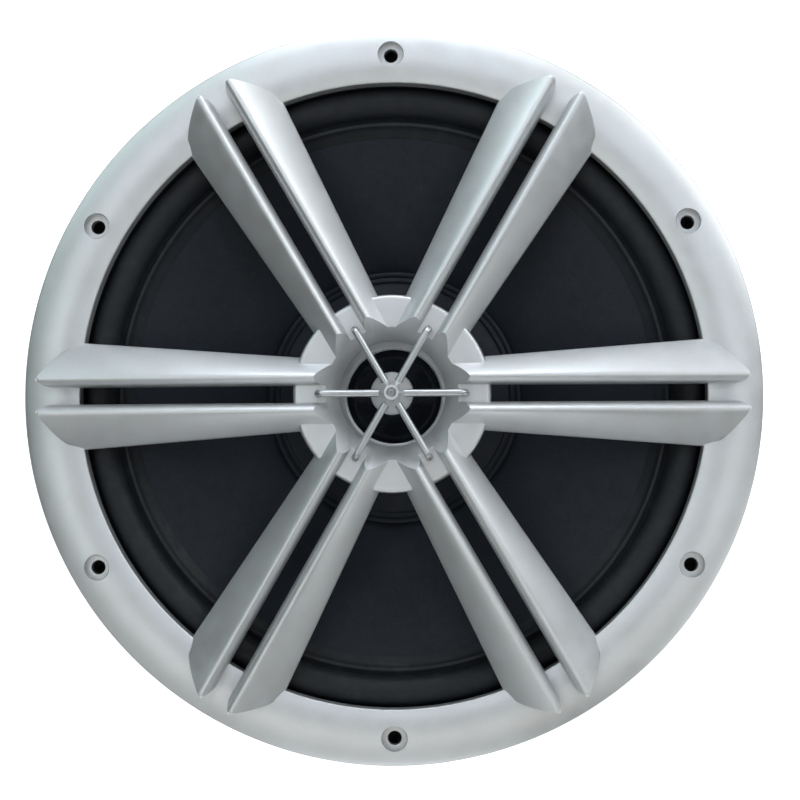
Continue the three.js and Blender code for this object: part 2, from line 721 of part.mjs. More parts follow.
// A push button with a cross hole for the bare wire.
function pushButton(side) {
  const { x, z, radius, proud } = BUTTON;
  const shaft = crossPost(radius, TERMINAL.outer + 5, TERMINAL.outer - proud, side * x, z);
  const wireHole = post(1.6, z - 8, z + 8, side * x, TERMINAL.outer - 1.6, 10);
  return shaft.subtract(wireHole);
}

function buttonSpring(side) {
  class Helix extends THREE.Curve {
    getPoint(along, target = new THREE.Vector3()) {
      const turn = along * SPRING.turns * 2 * Math.PI;
      const depth = TERMINAL.outer + 5 + GAP + 0.6 + along * SPRING.length;
      const x = side * BUTTON.x + SPRING.radius * Math.cos(turn);
      return target.set(x, depth, BUTTON.z + SPRING.radius * Math.sin(turn));
    }
  }
  return rod(new Helix(), SPRING.wire, 4, 24);
}

// The tab that a lead is soldered to stands up from the block, clear of the basket.
function solderTab(side) {
  const x = side * BUTTON.x;
  const low = [x - TAB.halfWidth, TAB.y - TAB.halfThickness, TERMINAL.top - 5.6];
  return block(low, [x + TAB.halfWidth, TAB.y + TAB.halfThickness, TERMINAL.top + 12]);
}

// A lead runs in a slack arch from its tab to the underside of the cone.
function lead(side) {
  const x = side * BUTTON.x;
  const start = new THREE.Vector3(x, TAB.y + TAB.halfThickness + GAP + LEAD_RADIUS, TERMINAL.top + 10);
  const end = new THREE.Vector3(x * 0.85, -50, coneHeight(50.7) - CONE_THICKNESS - 2 * LEAD_RADIUS);
  const path = new THREE.CatmullRomCurve3([
    start,
    new THREE.Vector3(x, -83, 103.5),
    new THREE.Vector3(x * 0.95, -72, 104),
    new THREE.Vector3(x * 0.9, -60, 108),
    end,
  ]);
  return rod(path, LEAD_RADIUS, 6, 12);
}

// ---- Assembly -----------------------------------------------------------------------------------

add("trim_ring", trimRing(), material.silver);
add("hub_collar", hubCollar(), material.silver);
for (let pair = 0; pair < 6; pair++) {
  add(`blade_${pair + 1}a`, blade(pair, 1), material.silver);
  add(`blade_${pair + 1}b`, blade(pair, -1), material.silver);
  add(`strut_${pair + 1}`, strut(pair), material.chrome);
  add(`basket_screw_${pair + 1}`, basketScrew(pair), material.screw);
}
add("bullet", bullet(), material.silver);
add("bullet_screw", bulletScrew(), material.chrome);
add("grille_gasket", grilleGasket(), material.foam);
add("basket", basket(), material.basket);
add("mounting_gasket", mountingGasket(), material.foam);
add("cone", cone(), material.cone);
add("dust_cap", dustCap(), material.cone);
add("dust_cap_bezel", dustCapBezel(), material.silver);
add("dust_cap_lens", dustCapLens(), material.lens);
add("surround", surround(), material.rubber);
add("spider", spider(), material.cloth);
add("voice_coil_former", former(), material.former);
add("voice_coil_winding", coilWinding(), material.copper);
add("top_plate", topPlate(), material.plated);
add("magnet_upper", magnetAt(BACK_PLATE_TOP + MAGNET_HEIGHT + 2 * GAP), material.ferrite);
add("magnet_lower", magnetAt(BACK_PLATE_TOP + GAP), material.ferrite);
add("t_yoke", tYoke(), material.plated);
add("shorting_ring", shortingRing(), material.aluminium);
add("magnet_boot", magnetBoot(), material.rubber);
add("terminal_block", terminalBlock(), material.moulding);
for (const [label, side] of [["positive", 1], ["negative", -1]]) {
  add(`push_button_${label}`, pushButton(side), side > 0 ? material.red : material.black);
  add(`button_spring_${label}`, buttonSpring(side), material.plated);
  add(`solder_tab_${label}`, solderTab(side), material.brass);
  add(`lead_${label}`, lead(side), material.braid);
  add(`terminal_screw_${label}`, terminalScrew(side), material.screw);
}

export default subwoofer;
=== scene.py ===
"""The looks of a 12-inch subwoofer with a spoked silver grille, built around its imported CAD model.

Everything is in metres in the CAD frame: +Z runs along the cone's axis and out of the grille, and the
loudspeaker stands on its magnet. Levels and outer radii are read from the CAD nodes' boxes, and a piece's
finer sizes are given in millimetres next to it, times MM.
"""

import math

import bmesh
import bpy
import numpy as np
from mathutils import Matrix, Vector


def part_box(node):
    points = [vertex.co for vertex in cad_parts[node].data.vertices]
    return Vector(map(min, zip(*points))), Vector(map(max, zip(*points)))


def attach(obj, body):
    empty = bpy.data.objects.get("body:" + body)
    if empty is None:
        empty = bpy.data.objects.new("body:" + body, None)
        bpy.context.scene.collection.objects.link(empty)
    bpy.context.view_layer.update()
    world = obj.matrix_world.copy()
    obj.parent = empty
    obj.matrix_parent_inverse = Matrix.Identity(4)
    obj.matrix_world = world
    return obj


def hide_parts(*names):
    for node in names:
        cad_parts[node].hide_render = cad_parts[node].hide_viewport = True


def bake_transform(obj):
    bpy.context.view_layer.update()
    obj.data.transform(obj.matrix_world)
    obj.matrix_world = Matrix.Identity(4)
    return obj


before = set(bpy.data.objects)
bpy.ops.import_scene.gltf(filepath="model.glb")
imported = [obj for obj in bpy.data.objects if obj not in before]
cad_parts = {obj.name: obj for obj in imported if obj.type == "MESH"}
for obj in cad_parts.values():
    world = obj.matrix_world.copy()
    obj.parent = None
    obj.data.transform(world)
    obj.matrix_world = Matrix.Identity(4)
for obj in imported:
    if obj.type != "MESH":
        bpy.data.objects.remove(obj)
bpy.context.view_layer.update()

MM = 0.001
TAU = 2 * math.pi
SIXTH = TAU / 6
FRAME = "frame"
MOVING = "cone_assembly"
GAP = 0.3 * MM

# ---- Sizes taken from the CAD model ----------------------------------------------------------------


def outer_radius(node):
    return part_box(node)[1].x


def bottom(node):
    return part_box(node)[0].z


def top(node):
    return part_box(node)[1].z


def extent(node):
    """A node's outer radius, and its lowest and highest level."""
    low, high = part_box(node)
    return high.x, low.z, high.z


RIM_RADIUS = outer_radius("trim_ring")
RING_CREST = top("trim_ring")
HUB_RADIUS = outer_radius("hub_collar")
HUB_FACE = top("hub_collar")
HUB_BACK = bottom("hub_collar")
GASKET_TOP = top("grille_gasket")
FLANGE_TOP = top("basket")

OPENING_RADIUS = 137.8 * MM
CREST_RADIUS = 149 * MM
BOLT_CIRCLE_RADIUS = 150.6 * MM
THROAT_RADIUS = 23.2 * MM
FUNNEL_FACE_RADIUS = 29.1 * MM
BOLT_HOLE_RADIUS = 3 * MM
COUNTERBORE_RADIUS = 5.5 * MM
COUNTERBORE_FLOOR = 153.5 * MM

# ---- Mesh tools ------------------------------------------------------------------------------------


def finished(name, mesh, sharp=32):
    """An object from a mesh, with smooth faces, sharp edges above an angle and normals that point out."""
    work = bmesh.new()
    work.from_mesh(mesh)
    bmesh.ops.remove_doubles(work, verts=work.verts, dist=2e-6)
    bmesh.ops.dissolve_degenerate(work, edges=work.edges, dist=1e-7)
    bmesh.ops.recalc_face_normals(work, faces=work.faces)
    work.to_mesh(mesh)
    work.free()
    mesh.shade_smooth()
    mesh.set_sharp_from_angle(angle=math.radians(sharp))
    made = bpy.data.objects.new(name, mesh)
    bpy.context.scene.collection.objects.link(made)
    return made


def from_rows(name, rows, closed_rows=True, caps=False, sharp=32):
    """A mesh over rows of points. Each row is a closed loop, and joins the next one, the last the first."""
    rows = np.asarray(rows, float)
    count, size = rows.shape[:2]
    faces = []
    for i in range(count if closed_rows else count - 1):
        following = (i + 1) % count
        for j in range(size):
            k = (j + 1) % size
            faces.append((i * size + j, i * size + k, following * size + k, following * size + j))
    if caps:
        faces.append(tuple(range(size))[::-1])
        faces.append(tuple((count - 1) * size + j for j in range(size)))
    mesh = bpy.data.meshes.new(name)
    mesh.from_pydata(rows.reshape(-1, 3).tolist(), [], faces)
    return finished(name, mesh, sharp)


def loft(name, rows):
    """A solid over rows of points, capped at both ends."""
    return from_rows(name, rows, closed_rows=False, caps=True)


def rounded(corners, steps=5):
    """A closed outline of (across, up) points. A corner with a third value is rounded to that radius."""
    points = []
    for i, corner in enumerate(corners):
        here = np.array(corner[:2], float)
        radius = corner[2] if len(corner) > 2 else 0
        if not radius:
            points.append(tuple(here))
            continue
        before = np.array(corners[i - 1][:2], float) - here
        after = np.array(corners[(i + 1) % len(corners)][:2], float) - here
        lengths = np.linalg.norm(before), np.linalg.norm(after)
        before, after = before / lengths[0], after / lengths[1]
        half = math.acos(max(-1.0, min(1.0, float(before @ after)))) / 2
        reach = min(radius / math.tan(half), 0.48 * min(lengths))
        start, end = here + before * reach, here + after * reach
        for j in range(steps + 1):
            t = j / steps
            points.append(tuple((1 - t) ** 2 * start + 2 * t * (1 - t) * here + t * t * end))
    return points


def lathe(name, outline, segments=240, waver=None, sharp=32):
    """Turns a closed (radius, height) outline about Z. waver(angle, radius, height) may move a radius."""
    rows = []
    for i in range(segments):
        angle = TAU * i / segments
        row = []
        for radius, height in outline:
            r = waver(angle, radius, height) if waver else radius
            row.append((r * math.cos(angle), r * math.sin(angle), height))
        rows.append(row)
    return from_rows(name, rows, sharp=sharp)


def rectangle(left, right, low, high, edge=0.4 * MM, steps=3):
    """A rectangle's outline, with its corners rounded to the radius edge."""
    return rounded([(left, low, edge), (right, low, edge), (right, high, edge), (left, high, edge)], steps)


def disc(name, edge_outline, segments=160, sharp=32):
    """A turned solid whose outline starts and ends on the axis."""
    return lathe(name, edge_outline, segments, sharp=sharp)


def cylinder(name, radius, low, high, x=0.0, y=0.0, sides=48):
    angles = [TAU * i / sides for i in range(sides)]
    rows = [
        [(x + radius * math.cos(a), y + radius * math.sin(a), z) for a in angles]
        for z in (low, high)
    ]
    return loft(name, rows)


def prism(name, outline, low, high):
    """A closed (x, y) outline extruded along Z."""
    return loft(name, [[(x, y, z) for x, y in outline] for z in (low, high)])


def slab(name, outline, near, far):
    """A closed (x, z) outline extruded along Y."""
    return loft(name, [[(x, y, z) for x, z in outline] for y in (near, far)])


def tube(name, points, radius, sides=20):
    """A round rod along points, with capped ends."""
    points = [Vector(p) for p in points]
    tangents = []
    for i in range(len(points)):
        tangents.append((points[min(i + 1, len(points) - 1)] - points[max(i - 1, 0)]).normalized())
    side = tangents[0].orthogonal().normalized()
    rows = []
    for i, (point, tangent) in enumerate(zip(points, tangents)):
        if i:
            side = tangents[i - 1].rotation_difference(tangent) @ side
        side = (side - tangent * side.dot(tangent)).normalized()
        across = tangent.cross(side)
        angles = [TAU * j / sides for j in range(sides)]
        rows.append([point + side * radius * math.cos(a) + across * radius * math.sin(a) for a in angles])
    return loft(name, [[tuple(v) for v in row] for row in rows])


def spline(points, per_span=8):
    """Points of a Catmull-Rom curve through the given points."""
    points = [Vector(p) for p in points]
    padded = [2 * points[0] - points[1], *points, 2 * points[-1] - points[-2]]
    result = []
    for i in range(len(points) - 1):
        a, b, c, d = padded[i : i + 4]
        for j in range(per_span):
            t = j / per_span
            curve = (2 * a - 5 * b + 4 * c - d) * t**2 + (3 * b - a - 3 * c + d) * t**3
            result.append(0.5 * (2 * b + (c - a) * t + curve))
    return result + [points[-1]]


def apply_modifiers(piece):
    depsgraph = bpy.context.evaluated_depsgraph_get()
    mesh = bpy.data.meshes.new_from_object(piece.evaluated_get(depsgraph))
    piece.modifiers.clear()
    piece.data = mesh
    return piece


def combine(target, tool, operation):
    """Applies a boolean of target with tool, and removes tool."""
    modifier = target.modifiers.new("combine", "BOOLEAN")
    modifier.operation = operation
    modifier.solver = "MANIFOLD"
    modifier.object = tool
    apply_modifiers(target)
    bpy.data.objects.remove(tool)
    return target


def cut(target, *tools):
    for tool in tools:
        combine(target, tool, "DIFFERENCE")
    return target


def join(target, *tools):
    for tool in tools:
        combine(target, tool, "UNION")
    return target


def reshade(target, sharp=32):
    target.data.shade_smooth()
    target.data.set_sharp_from_angle(angle=math.radians(sharp))
    return target


def turn(target, angle):
    target.data.transform(Matrix.Rotation(angle, 4, "Z"))
    return target


def polar(radius, angle):
    return radius * math.cos(angle), radius * math.sin(angle)


def bolt_angle(i):
    return SIXTH * (i + 0.5)


def chamfered_hole(radius, low, high, angle, distance, chamfer=0.35 * MM, sides=48):
    """A cutter for a hole along Z whose upper edge is chamfered at the level high."""
    outline = [(0, low), (radius, low), (radius, high - chamfer), (radius + chamfer * 2, high + chamfer)]
    made = lathe("hole", [*outline, (0, high + chamfer)], sides)
    made.data.transform(Matrix.Translation((*polar(distance, angle), 0)))
    return made


# ---- Materials -------------------------------------------------------------------------------------


class Surface:
    """A procedural material: a Principled shader with nodes of noise, pattern and bump in front of it."""

    def __init__(self, name, color, roughness, metallic=0.0, **sockets):
        self.material = bpy.data.materials.new(name)
        self.material.use_nodes = True
        self.tree = self.material.node_tree
        self.shader = self.tree.nodes["Principled BSDF"]
        self.color = color
        self.shader.inputs["Base Color"].default_value = (*color, 1)
        self.shader.inputs["Roughness"].default_value = roughness
        self.shader.inputs["Metallic"].default_value = metallic
        for socket, value in sockets.items():
            self.shader.inputs[socket.replace("_", " ")].default_value = value
        self.material.diffuse_color = (*color, 1)
        self.place = self.node("ShaderNodeTexCoord").outputs["Object"]
        self.normal = None

    def node(self, kind, **settings):
        made = self.tree.nodes.new(kind)
        for name, value in settings.items():
            setattr(made, name, value)
        return made

    def link(self, source, target):
        self.tree.links.new(source, target)

    def fill(self, node, values):
        """Sets or links each of a node's inputs."""
        for key, value in values.items():
            if isinstance(value, bpy.types.NodeSocket):
                self.link(value, node.inputs[key])
            else:
                node.inputs[key].default_value = value
        return node

    def noise(self, size, detail=3.0, roughness=0.5, vector=None):
        """Noise whose blobs are about size metres wide."""
        made = self.fill(
            self.node("ShaderNodeTexNoise"),
            {"Vector": vector or self.place, "Scale": 1 / size, "Detail": detail, "Roughness": roughness},
        )
        return made.outputs["Fac"]

    def cells(self, size, output="Distance"):
        made = self.fill(self.node("ShaderNodeTexVoronoi"), {"Vector": self.place, "Scale": 1 / size})
        return made.outputs[output]

    def math(self, operation, a, b=0.0):
        made = self.fill(self.node("ShaderNodeMath", operation=operation), {0: a, 1: b})
        return made.outputs[0]

    def axis(self, name):
        split = self.fill(self.node("ShaderNodeSeparateXYZ"), {"Vector": self.place})
        return split.outputs[name]

    def radius(self):
        x, y = self.axis("X"), self.axis("Y")
        return self.math("SQRT", self.math("ADD", self.math("MULTIPLY", x, x), self.math("MULTIPLY", y, y)))

    def angle(self):
        return self.math("ARCTAN2", self.axis("Y"), self.axis("X"))

    def remap(self, value, low, high, to_low, to_high):
        made = self.fill(
            self.node("ShaderNodeMapRange"),
            {"Value": value, "From Min": low, "From Max": high, "To Min": to_low, "To Max": to_high},
        )
        return made.outputs["Result"]

    def tint(self, factor, color, low=0.35, high=0.65):
        """Mixes the base colour towards another where the factor is high."""
        share = self.remap(factor, low, high, 0.0, 1.0)
        mix = self.node("ShaderNodeMix", data_type="RGBA")
        source = self.shader.inputs["Base Color"]
        if source.is_linked:
            self.link(source.links[0].from_socket, mix.inputs["A"])
        else:
            mix.inputs["A"].default_value = source.default_value
        mix.inputs["B"].default_value = (*color, 1)
        self.link(share, mix.inputs["Factor"])
        self.link(mix.outputs["Result"], source)
        return self

    def rough(self, factor, low, high):
        self.link(self.remap(factor, 0.3, 0.7, low, high), self.shader.inputs["Roughness"])
        return self

    def bump(self, height, depth, strength=1.0):
        """Raises the surface by up to depth metres where height is one."""
        values = {"Height": height, "Distance": depth, "Strength": strength}
        made = self.fill(self.node("ShaderNodeBump"), values)
        if self.normal:
            self.link(self.normal, made.inputs["Normal"])
        self.normal = made.outputs["Normal"]
        self.link(self.normal, self.shader.inputs["Normal"])
        return self


def silver_paint():
    """Satin metallic paint on a moulding: fine flakes, a faint orange peel and slightly uneven gloss."""
    paint = Surface("silver_paint", (0.6, 0.604, 0.608), 0.42, 0.8, Coat_Weight=0.12, Coat_Roughness=0.35)
    paint.tint(paint.noise(0.012, 2), (0.62, 0.635, 0.645))
    paint.tint(paint.noise(0.00022, 1), (0.72, 0.73, 0.735), 0.55, 0.75)
    paint.rough(paint.noise(0.006, 3), 0.385, 0.455)
    paint.bump(paint.noise(0.0006, 2), 0.000012)
    paint.bump(paint.noise(0.00016, 1), 0.000008)
    return paint.material


def bright_steel():
    """Polished wire, a little cloudy."""
    steel = Surface("bright_steel", (0.5, 0.51, 0.52), 0.3, 0.95)
    steel.rough(steel.noise(0.006, 2), 0.28, 0.34)
    steel.tint(steel.noise(0.005, 2), (0.46, 0.47, 0.475), 0.5, 0.8)
    return steel.material


def cone_composite():
    """Moulded blue-black composite with fine fibres and a little dust."""
    body = Surface("cone_composite", (0.0095, 0.0125, 0.0185), 0.5, 0.0, Specular_IOR_Level=0.22)
    fibres = body.noise(0.0011, 5, 0.7)
    body.tint(fibres, (0.018, 0.022, 0.03), 0.5, 0.8)
    body.tint(body.noise(0.00035, 1), (0.045, 0.05, 0.058), 0.7, 0.85)
    body.rough(body.noise(0.004, 5), 0.44, 0.6)
    body.bump(fibres, 0.00006)
    return body.material


def surround_rubber():
    rubber = Surface("surround_rubber", (0.0095, 0.0115, 0.0145), 0.5, 0.0, Specular_IOR_Level=0.3)
    rubber.tint(rubber.noise(0.009, 5, 0.6), (0.02, 0.023, 0.027), 0.5, 0.85)
    rubber.rough(rubber.noise(0.003, 4), 0.44, 0.62)
    rubber.bump(rubber.noise(0.0003, 2), 0.00002)
    return rubber.material


def boot_rubber():
    rubber = Surface("boot_rubber", (0.018, 0.018, 0.0185), 0.62)
    rubber.tint(rubber.noise(0.014, 6, 0.65), (0.042, 0.042, 0.043), 0.5, 0.85)
    rubber.rough(rubber.noise(0.005, 4), 0.55, 0.75)
    rubber.bump(rubber.noise(0.0007, 3), 0.00005)
    return rubber.material


def gasket_foam():
    foam = Surface("gasket_foam", (0.022, 0.022, 0.0225), 0.93)
    pores = foam.cells(0.0007)
    foam.tint(pores, (0.05, 0.05, 0.051), 0.2, 0.7)
    foam.bump(pores, 0.00018)
    return foam.material


def basket_coating():
    """Black powder coat over a moulding: a fine pebble and faint handling marks."""
    coat = Surface("basket_coating", (0.016, 0.0165, 0.018), 0.48)
    pebble = coat.noise(0.00055, 2)
    coat.tint(coat.noise(0.02, 5, 0.6), (0.03, 0.031, 0.033), 0.5, 0.85)
    coat.rough(coat.noise(0.004, 4), 0.4, 0.58)
    coat.bump(pebble, 0.00007)
    return coat.material


def spider_cloth():
    """Resin-dipped cotton: a square weave in amber."""
    cloth = Surface("spider_cloth", (0.42, 0.27, 0.105), 0.72, 0.0, Sheen_Weight=0.15)
    pitch = 0.00075
    warp = cloth.math("SINE", cloth.math("MULTIPLY", cloth.axis("X"), TAU / pitch))
    weft = cloth.math("SINE", cloth.math("MULTIPLY", cloth.axis("Y"), TAU / pitch))
    weave = cloth.remap(cloth.math("MULTIPLY", warp, weft), -1, 1, 0.0, 1.0)
    cloth.tint(weave, (0.56, 0.39, 0.17), 0.3, 0.8)
    cloth.tint(cloth.noise(0.008, 4), (0.33, 0.2, 0.07), 0.5, 0.8)
    cloth.bump(weave, 0.00012)
    return cloth.material


def former_film():
    film = Surface("former_film", (0.045, 0.026, 0.014), 0.3)
    film.tint(film.noise(0.003, 4), (0.075, 0.045, 0.02))
    film.bump(film.noise(0.0006, 2), 0.00002)
    return film.material


def copper_wire():
    copper = Surface("copper_wire", (0.56, 0.19, 0.065), 0.28, 0.95, Coat_Weight=0.6, Coat_Roughness=0.15)
    copper.tint(copper.noise(0.0015, 3), (0.68, 0.27, 0.1))
    copper.rough(copper.noise(0.001, 3), 0.22, 0.38)
    return copper.material


def turned_metal(name, color, other, roughness, metallic=1.0):
    """Turned metal: fine rings from the lathe tool, and blotches in the finish."""
    metal = Surface(name, color, roughness, metallic)
    rings = metal.math("SINE", metal.math("MULTIPLY", metal.radius(), TAU / 0.00045))
    metal.tint(metal.noise(0.005, 5, 0.6), other)
    metal.rough(metal.noise(0.003, 4), roughness - 0.06, roughness + 0.12)
    metal.bump(rings, 0.000015)
    return metal.material


def plated_steel():
    return turned_metal("plated_steel", (0.42, 0.43, 0.425), (0.52, 0.52, 0.48), 0.36)


def bare_aluminium():
    return turned_metal("bare_aluminium", (0.7, 0.71, 0.72), (0.62, 0.63, 0.65), 0.3)


def ferrite():
    stone = Surface("ferrite", (0.04, 0.04, 0.043), 0.66)
    stone.tint(stone.noise(0.0012, 6, 0.7), (0.09, 0.09, 0.095), 0.5, 0.8)
    stone.bump(stone.noise(0.0008, 5), 0.00008)
    return stone.material


def black_oxide():
    screw = Surface("black_screws", (0.03, 0.03, 0.033), 0.36, 0.85)
    screw.tint(screw.noise(0.0008, 4), (0.075, 0.073, 0.07), 0.55, 0.8)
    screw.rough(screw.noise(0.0006, 4), 0.28, 0.5)
    return screw.material


def moulded(name, color, lighter, roughness, grain=0.0004, depth=0.00004):
    """Injection-moulded plastic: even colour, a spark-eroded grain and faint flow marks."""
    plastic = Surface(name, color, roughness, 0.0, Specular_IOR_Level=0.5)
    plastic.tint(plastic.noise(0.006, 4), lighter, 0.45, 0.8)
    plastic.rough(plastic.noise(0.002, 4), roughness - 0.06, roughness + 0.08)
    plastic.bump(plastic.noise(grain, 2), depth)
    return plastic.material


def gloss_black():
    """Polished black, with the faint haze and hairlines that wiping leaves."""
    lens = Surface("gloss_black", (0.006, 0.0075, 0.0105), 0.12, 0.0, Specular_IOR_Level=0.3)
    lens.tint(lens.noise(0.01, 4), (0.012, 0.014, 0.018), 0.5, 0.8)
    lens.rough(lens.noise(0.003, 6, 0.7), 0.09, 0.18)
    return lens.material


def tab_brass():
    brass = Surface("tab_brass", (0.62, 0.47, 0.2), 0.28, 1.0)
    brass.tint(brass.noise(0.0015, 4), (0.72, 0.66, 0.52))
    brass.rough(brass.noise(0.0012, 4), 0.22, 0.42)
    return brass.material


def lead_braid():
    """Tinned copper braid: a twisted lay of fine strands."""
    braid = Surface("lead_braid", (0.5, 0.44, 0.35), 0.4, 0.9)
    strands = braid.cells(0.00035)
    braid.tint(strands, (0.3, 0.24, 0.17), 0.2, 0.6)
    braid.bump(strands, 0.00012)
    return braid.material


MATERIALS = {
    "silver_paint": silver_paint(),
    "bright_steel": bright_steel(),
    "gloss_black": gloss_black(),
    "cone_composite": cone_composite(),
    "surround_rubber": surround_rubber(),
    "boot_rubber": boot_rubber(),
    "gasket_foam": gasket_foam(),
    "basket_coating": basket_coating(),
    "spider_cloth": spider_cloth(),
    "former_film": former_film(),
    "copper_wire": copper_wire(),
    "plated_steel": plated_steel(),
    "ferrite": ferrite(),
    "bare_aluminium": bare_aluminium(),
    "black_screws": black_oxide(),
    "terminal_moulding": moulded("terminal_moulding", (0.014, 0.014, 0.015), (0.024, 0.024, 0.026), 0.5),
    "red_button": moulded("red_button", (0.42, 0.014, 0.01), (0.5, 0.03, 0.02), 0.3, 0.0007, 0.00001),
    "black_button": moulded("black_button", (0.014, 0.014, 0.015), (0.03, 0.03, 0.032), 0.3, 0.0007, 0.00001),
    "tab_brass": tab_brass(),
    "lead_braid": lead_braid(),
}


def dress(piece, slot, body, *nodes):
    """Gives a piece its material, its CAD body and the CAD nodes that it stands for."""
    piece.data.materials.clear()
    piece.data.materials.append(MATERIALS[slot])
    if body:
        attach(piece, body)
    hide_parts(*nodes)
    return piece


# ---- Grille ----------------------------------------------------------------------------------------


def ring_top(radius):
    """Height of the trim ring's rounded top at a radius."""
    if radius > CREST_RADIUS:
        span, fall = RIM_RADIUS - CREST_RADIUS, 2.2 * MM
    else:
        span, fall = CREST_RADIUS - OPENING_RADIUS, 1.9 * MM
    return RING_CREST - fall * ((radius - CREST_RADIUS) / span) ** 2


def trim_ring():
    skirt = 1.7 * MM
    low = bottom("trim_ring")
    under = GASKET_TOP + GAP
    crown = [(r, ring_top(r)) for r in np.linspace(RIM_RADIUS - 1.7 * MM, OPENING_RADIUS + 1.4 * MM, 34)]
    corners = [
        (OPENING_RADIUS, under, 0.5 * MM),
        (RIM_RADIUS - skirt, under, 0.5 * MM),
        (RIM_RADIUS - skirt, low, 0.4 * MM),
        (RIM_RADIUS, low, 0.4 * MM),
        (RIM_RADIUS, ring_top(RIM_RADIUS), 1.3 * MM),
        *crown,
        (OPENING_RADIUS, ring_top(OPENING_RADIUS), 1.0 * MM),
    ]
    outline = rounded(corners, 4)
    return lathe("grille", outline, 360)


def hub():
    corners = [
        (THROAT_RADIUS + 0.8 * MM, HUB_BACK, 0.5 * MM),
        (HUB_RADIUS, HUB_BACK, 0.9 * MM),
        (HUB_RADIUS, HUB_FACE, 2.2 * MM),
        (FUNNEL_FACE_RADIUS, HUB_FACE, 0.5 * MM),
        (THROAT_RADIUS, HUB_FACE - (FUNNEL_FACE_RADIUS - THROAT_RADIUS), 0.6 * MM),
    ]
    outline = rounded(corners, 6)
    return lathe("hub", outline, 240)


BLADE = {
    "start": 25 * MM,  # inside the horn mouth, where the blade is trimmed
    "nose": 137 * MM,  # the outline runs straight to here, then curves in to the tip
    "tip": 155.8 * MM,
    "slot": 3.8 * MM,  # from the pair's centre line to the slot's wall
    "crest": 7.3 * MM,  # from the pair's centre line to the crest
    "crest_height": 168.4 * MM,  # where the nose starts
    "gap_drop": 4.8 * MM,  # from the crest down to the slot's wall
    "edge_height": 157.2 * MM,  # of the outer edge, at the ring's mouth
    "underside": 2.4 * MM,  # thickness at the outer edge
    "root": 155 * MM,  # a level inside the ring, which the nose's walls run down to
    "half_width": 13.1 * MM,  # at the axis, if the sides ran on to it
    "flare": 0.077,  # growth of the half width for each metre of radius
    "crest_rise": 0.04,  # rise of the crest for each metre towards the hub
    "edge_rise": 0.062,  # rise of the outer edge for each metre towards the hub
    "tip_drop": 1.3 * MM,  # how far the crest bends down at the very tip
}


def along_nose(radius):
    """0 where the blade's nose starts and 1 at its tip."""
    return min(1.0, max(0.0, (radius - BLADE["nose"]) / (BLADE["tip"] - BLADE["nose"])))


def share_past(value, start):
    """0 up to start, and then evenly up to 1 at one."""
    return max(0.0, (value - start) / (1 - start))


def blade_half_width(radius):
    return BLADE["half_width"] + BLADE["flare"] * min(radius, BLADE["nose"])


def blade_edge_height(radius):
    return BLADE["edge_height"] + BLADE["edge_rise"] * max(0.0, OPENING_RADIUS - radius)


def blade_top(radius, offset):
    """The upper surface: a rounded face from the slot up to the crest, then a long slope outwards."""
    rise = BLADE["crest_rise"] * (BLADE["nose"] - min(radius, BLADE["nose"]))
    blunt = share_past(along_nose(radius), 0.93)
    crest = BLADE["crest_height"] + rise - BLADE["tip_drop"] * blunt**2
    if offset < BLADE["crest"]:
        across = (BLADE["crest"] - offset) / (BLADE["crest"] - BLADE["slot"])
        fullness = 1.6
        return crest - BLADE["gap_drop"] * (1 - max(0.0, 1 - across**fullness) ** (1 / fullness))
    across = (offset - BLADE["crest"]) / (blade_half_width(radius) - BLADE["crest"])
    soft, bow = 0.1, 0.25
    slope = (math.hypot(across, soft) - soft) / (math.hypot(1, soft) - soft)
    return crest - (crest - blade_edge_height(radius)) * ((1 - bow) * slope + bow * across**2)


def blade_sides(radius):
    """The two sides of the outline, as offsets from the pair's centre line."""
    along = along_nose(radius)
    fullness = 1.65
    outer = BLADE["crest"] + (blade_half_width(radius) - BLADE["crest"]) * (1 - along**fullness)
    inward = share_past(along, 0.62)
    inner = BLADE["slot"] + (BLADE["crest"] - BLADE["slot"] - 0.5 * MM) * inward**2
    return inner, max(outer, BLADE["crest"] + 0.1 * MM)


def blade_section(radius):
    """The blade's closed outline at a radius, as (offset from the pair's centre line, height)."""
    inner, outer = blade_sides(radius)
    low = BLADE["root"] if radius > BLADE["nose"] else blade_edge_height(radius) - BLADE["underside"]
    under = 0.7 * MM
    points = [(outer, low, under), (inner, low, under)]
    for i in range(11):
        offset = inner + (BLADE["crest"] - inner) * math.sin(math.pi / 2 * i / 10)
        corner = (offset, blade_top(radius, offset))
        points.append((*corner, 0.5 * MM) if i == 0 else corner)
    for i in range(1, 17):
        offset = BLADE["crest"] + (outer - BLADE["crest"]) * (i / 16) ** 1.4
        corner = (offset, blade_top(radius, offset))
        points.append((*corner, 1.0 * MM) if i == 16 else corner)
    return rounded(points, 4)


def blade(side):
    """One blade of the pair along +X, lofted outwards. side is 1 or -1."""
    straight = np.linspace(BLADE["start"], BLADE["nose"], 24)
    nose = BLADE["nose"] + (BLADE["tip"] - BLADE["nose"]) * np.sin(np.linspace(0, math.pi / 2, 40)[1:])
    rows = [[(r, side * w, z) for w, z in blade_section(r)] for r in [*straight, *nose]]
    return loft("blade", rows)


def horn_cutter():
    """The 45 degree cone that trims the blades' inner ends in line with the horn mouth."""
    reach = 24 * MM
    low = 12 * MM
    outline = [
        (0, HUB_FACE - (FUNNEL_FACE_RADIUS - low)),
        (low, HUB_FACE - (FUNNEL_FACE_RADIUS - low)),
        (FUNNEL_FACE_RADIUS + reach, HUB_FACE + reach),
        (0, HUB_FACE + reach),
    ]
    return lathe("horn", outline, 240)


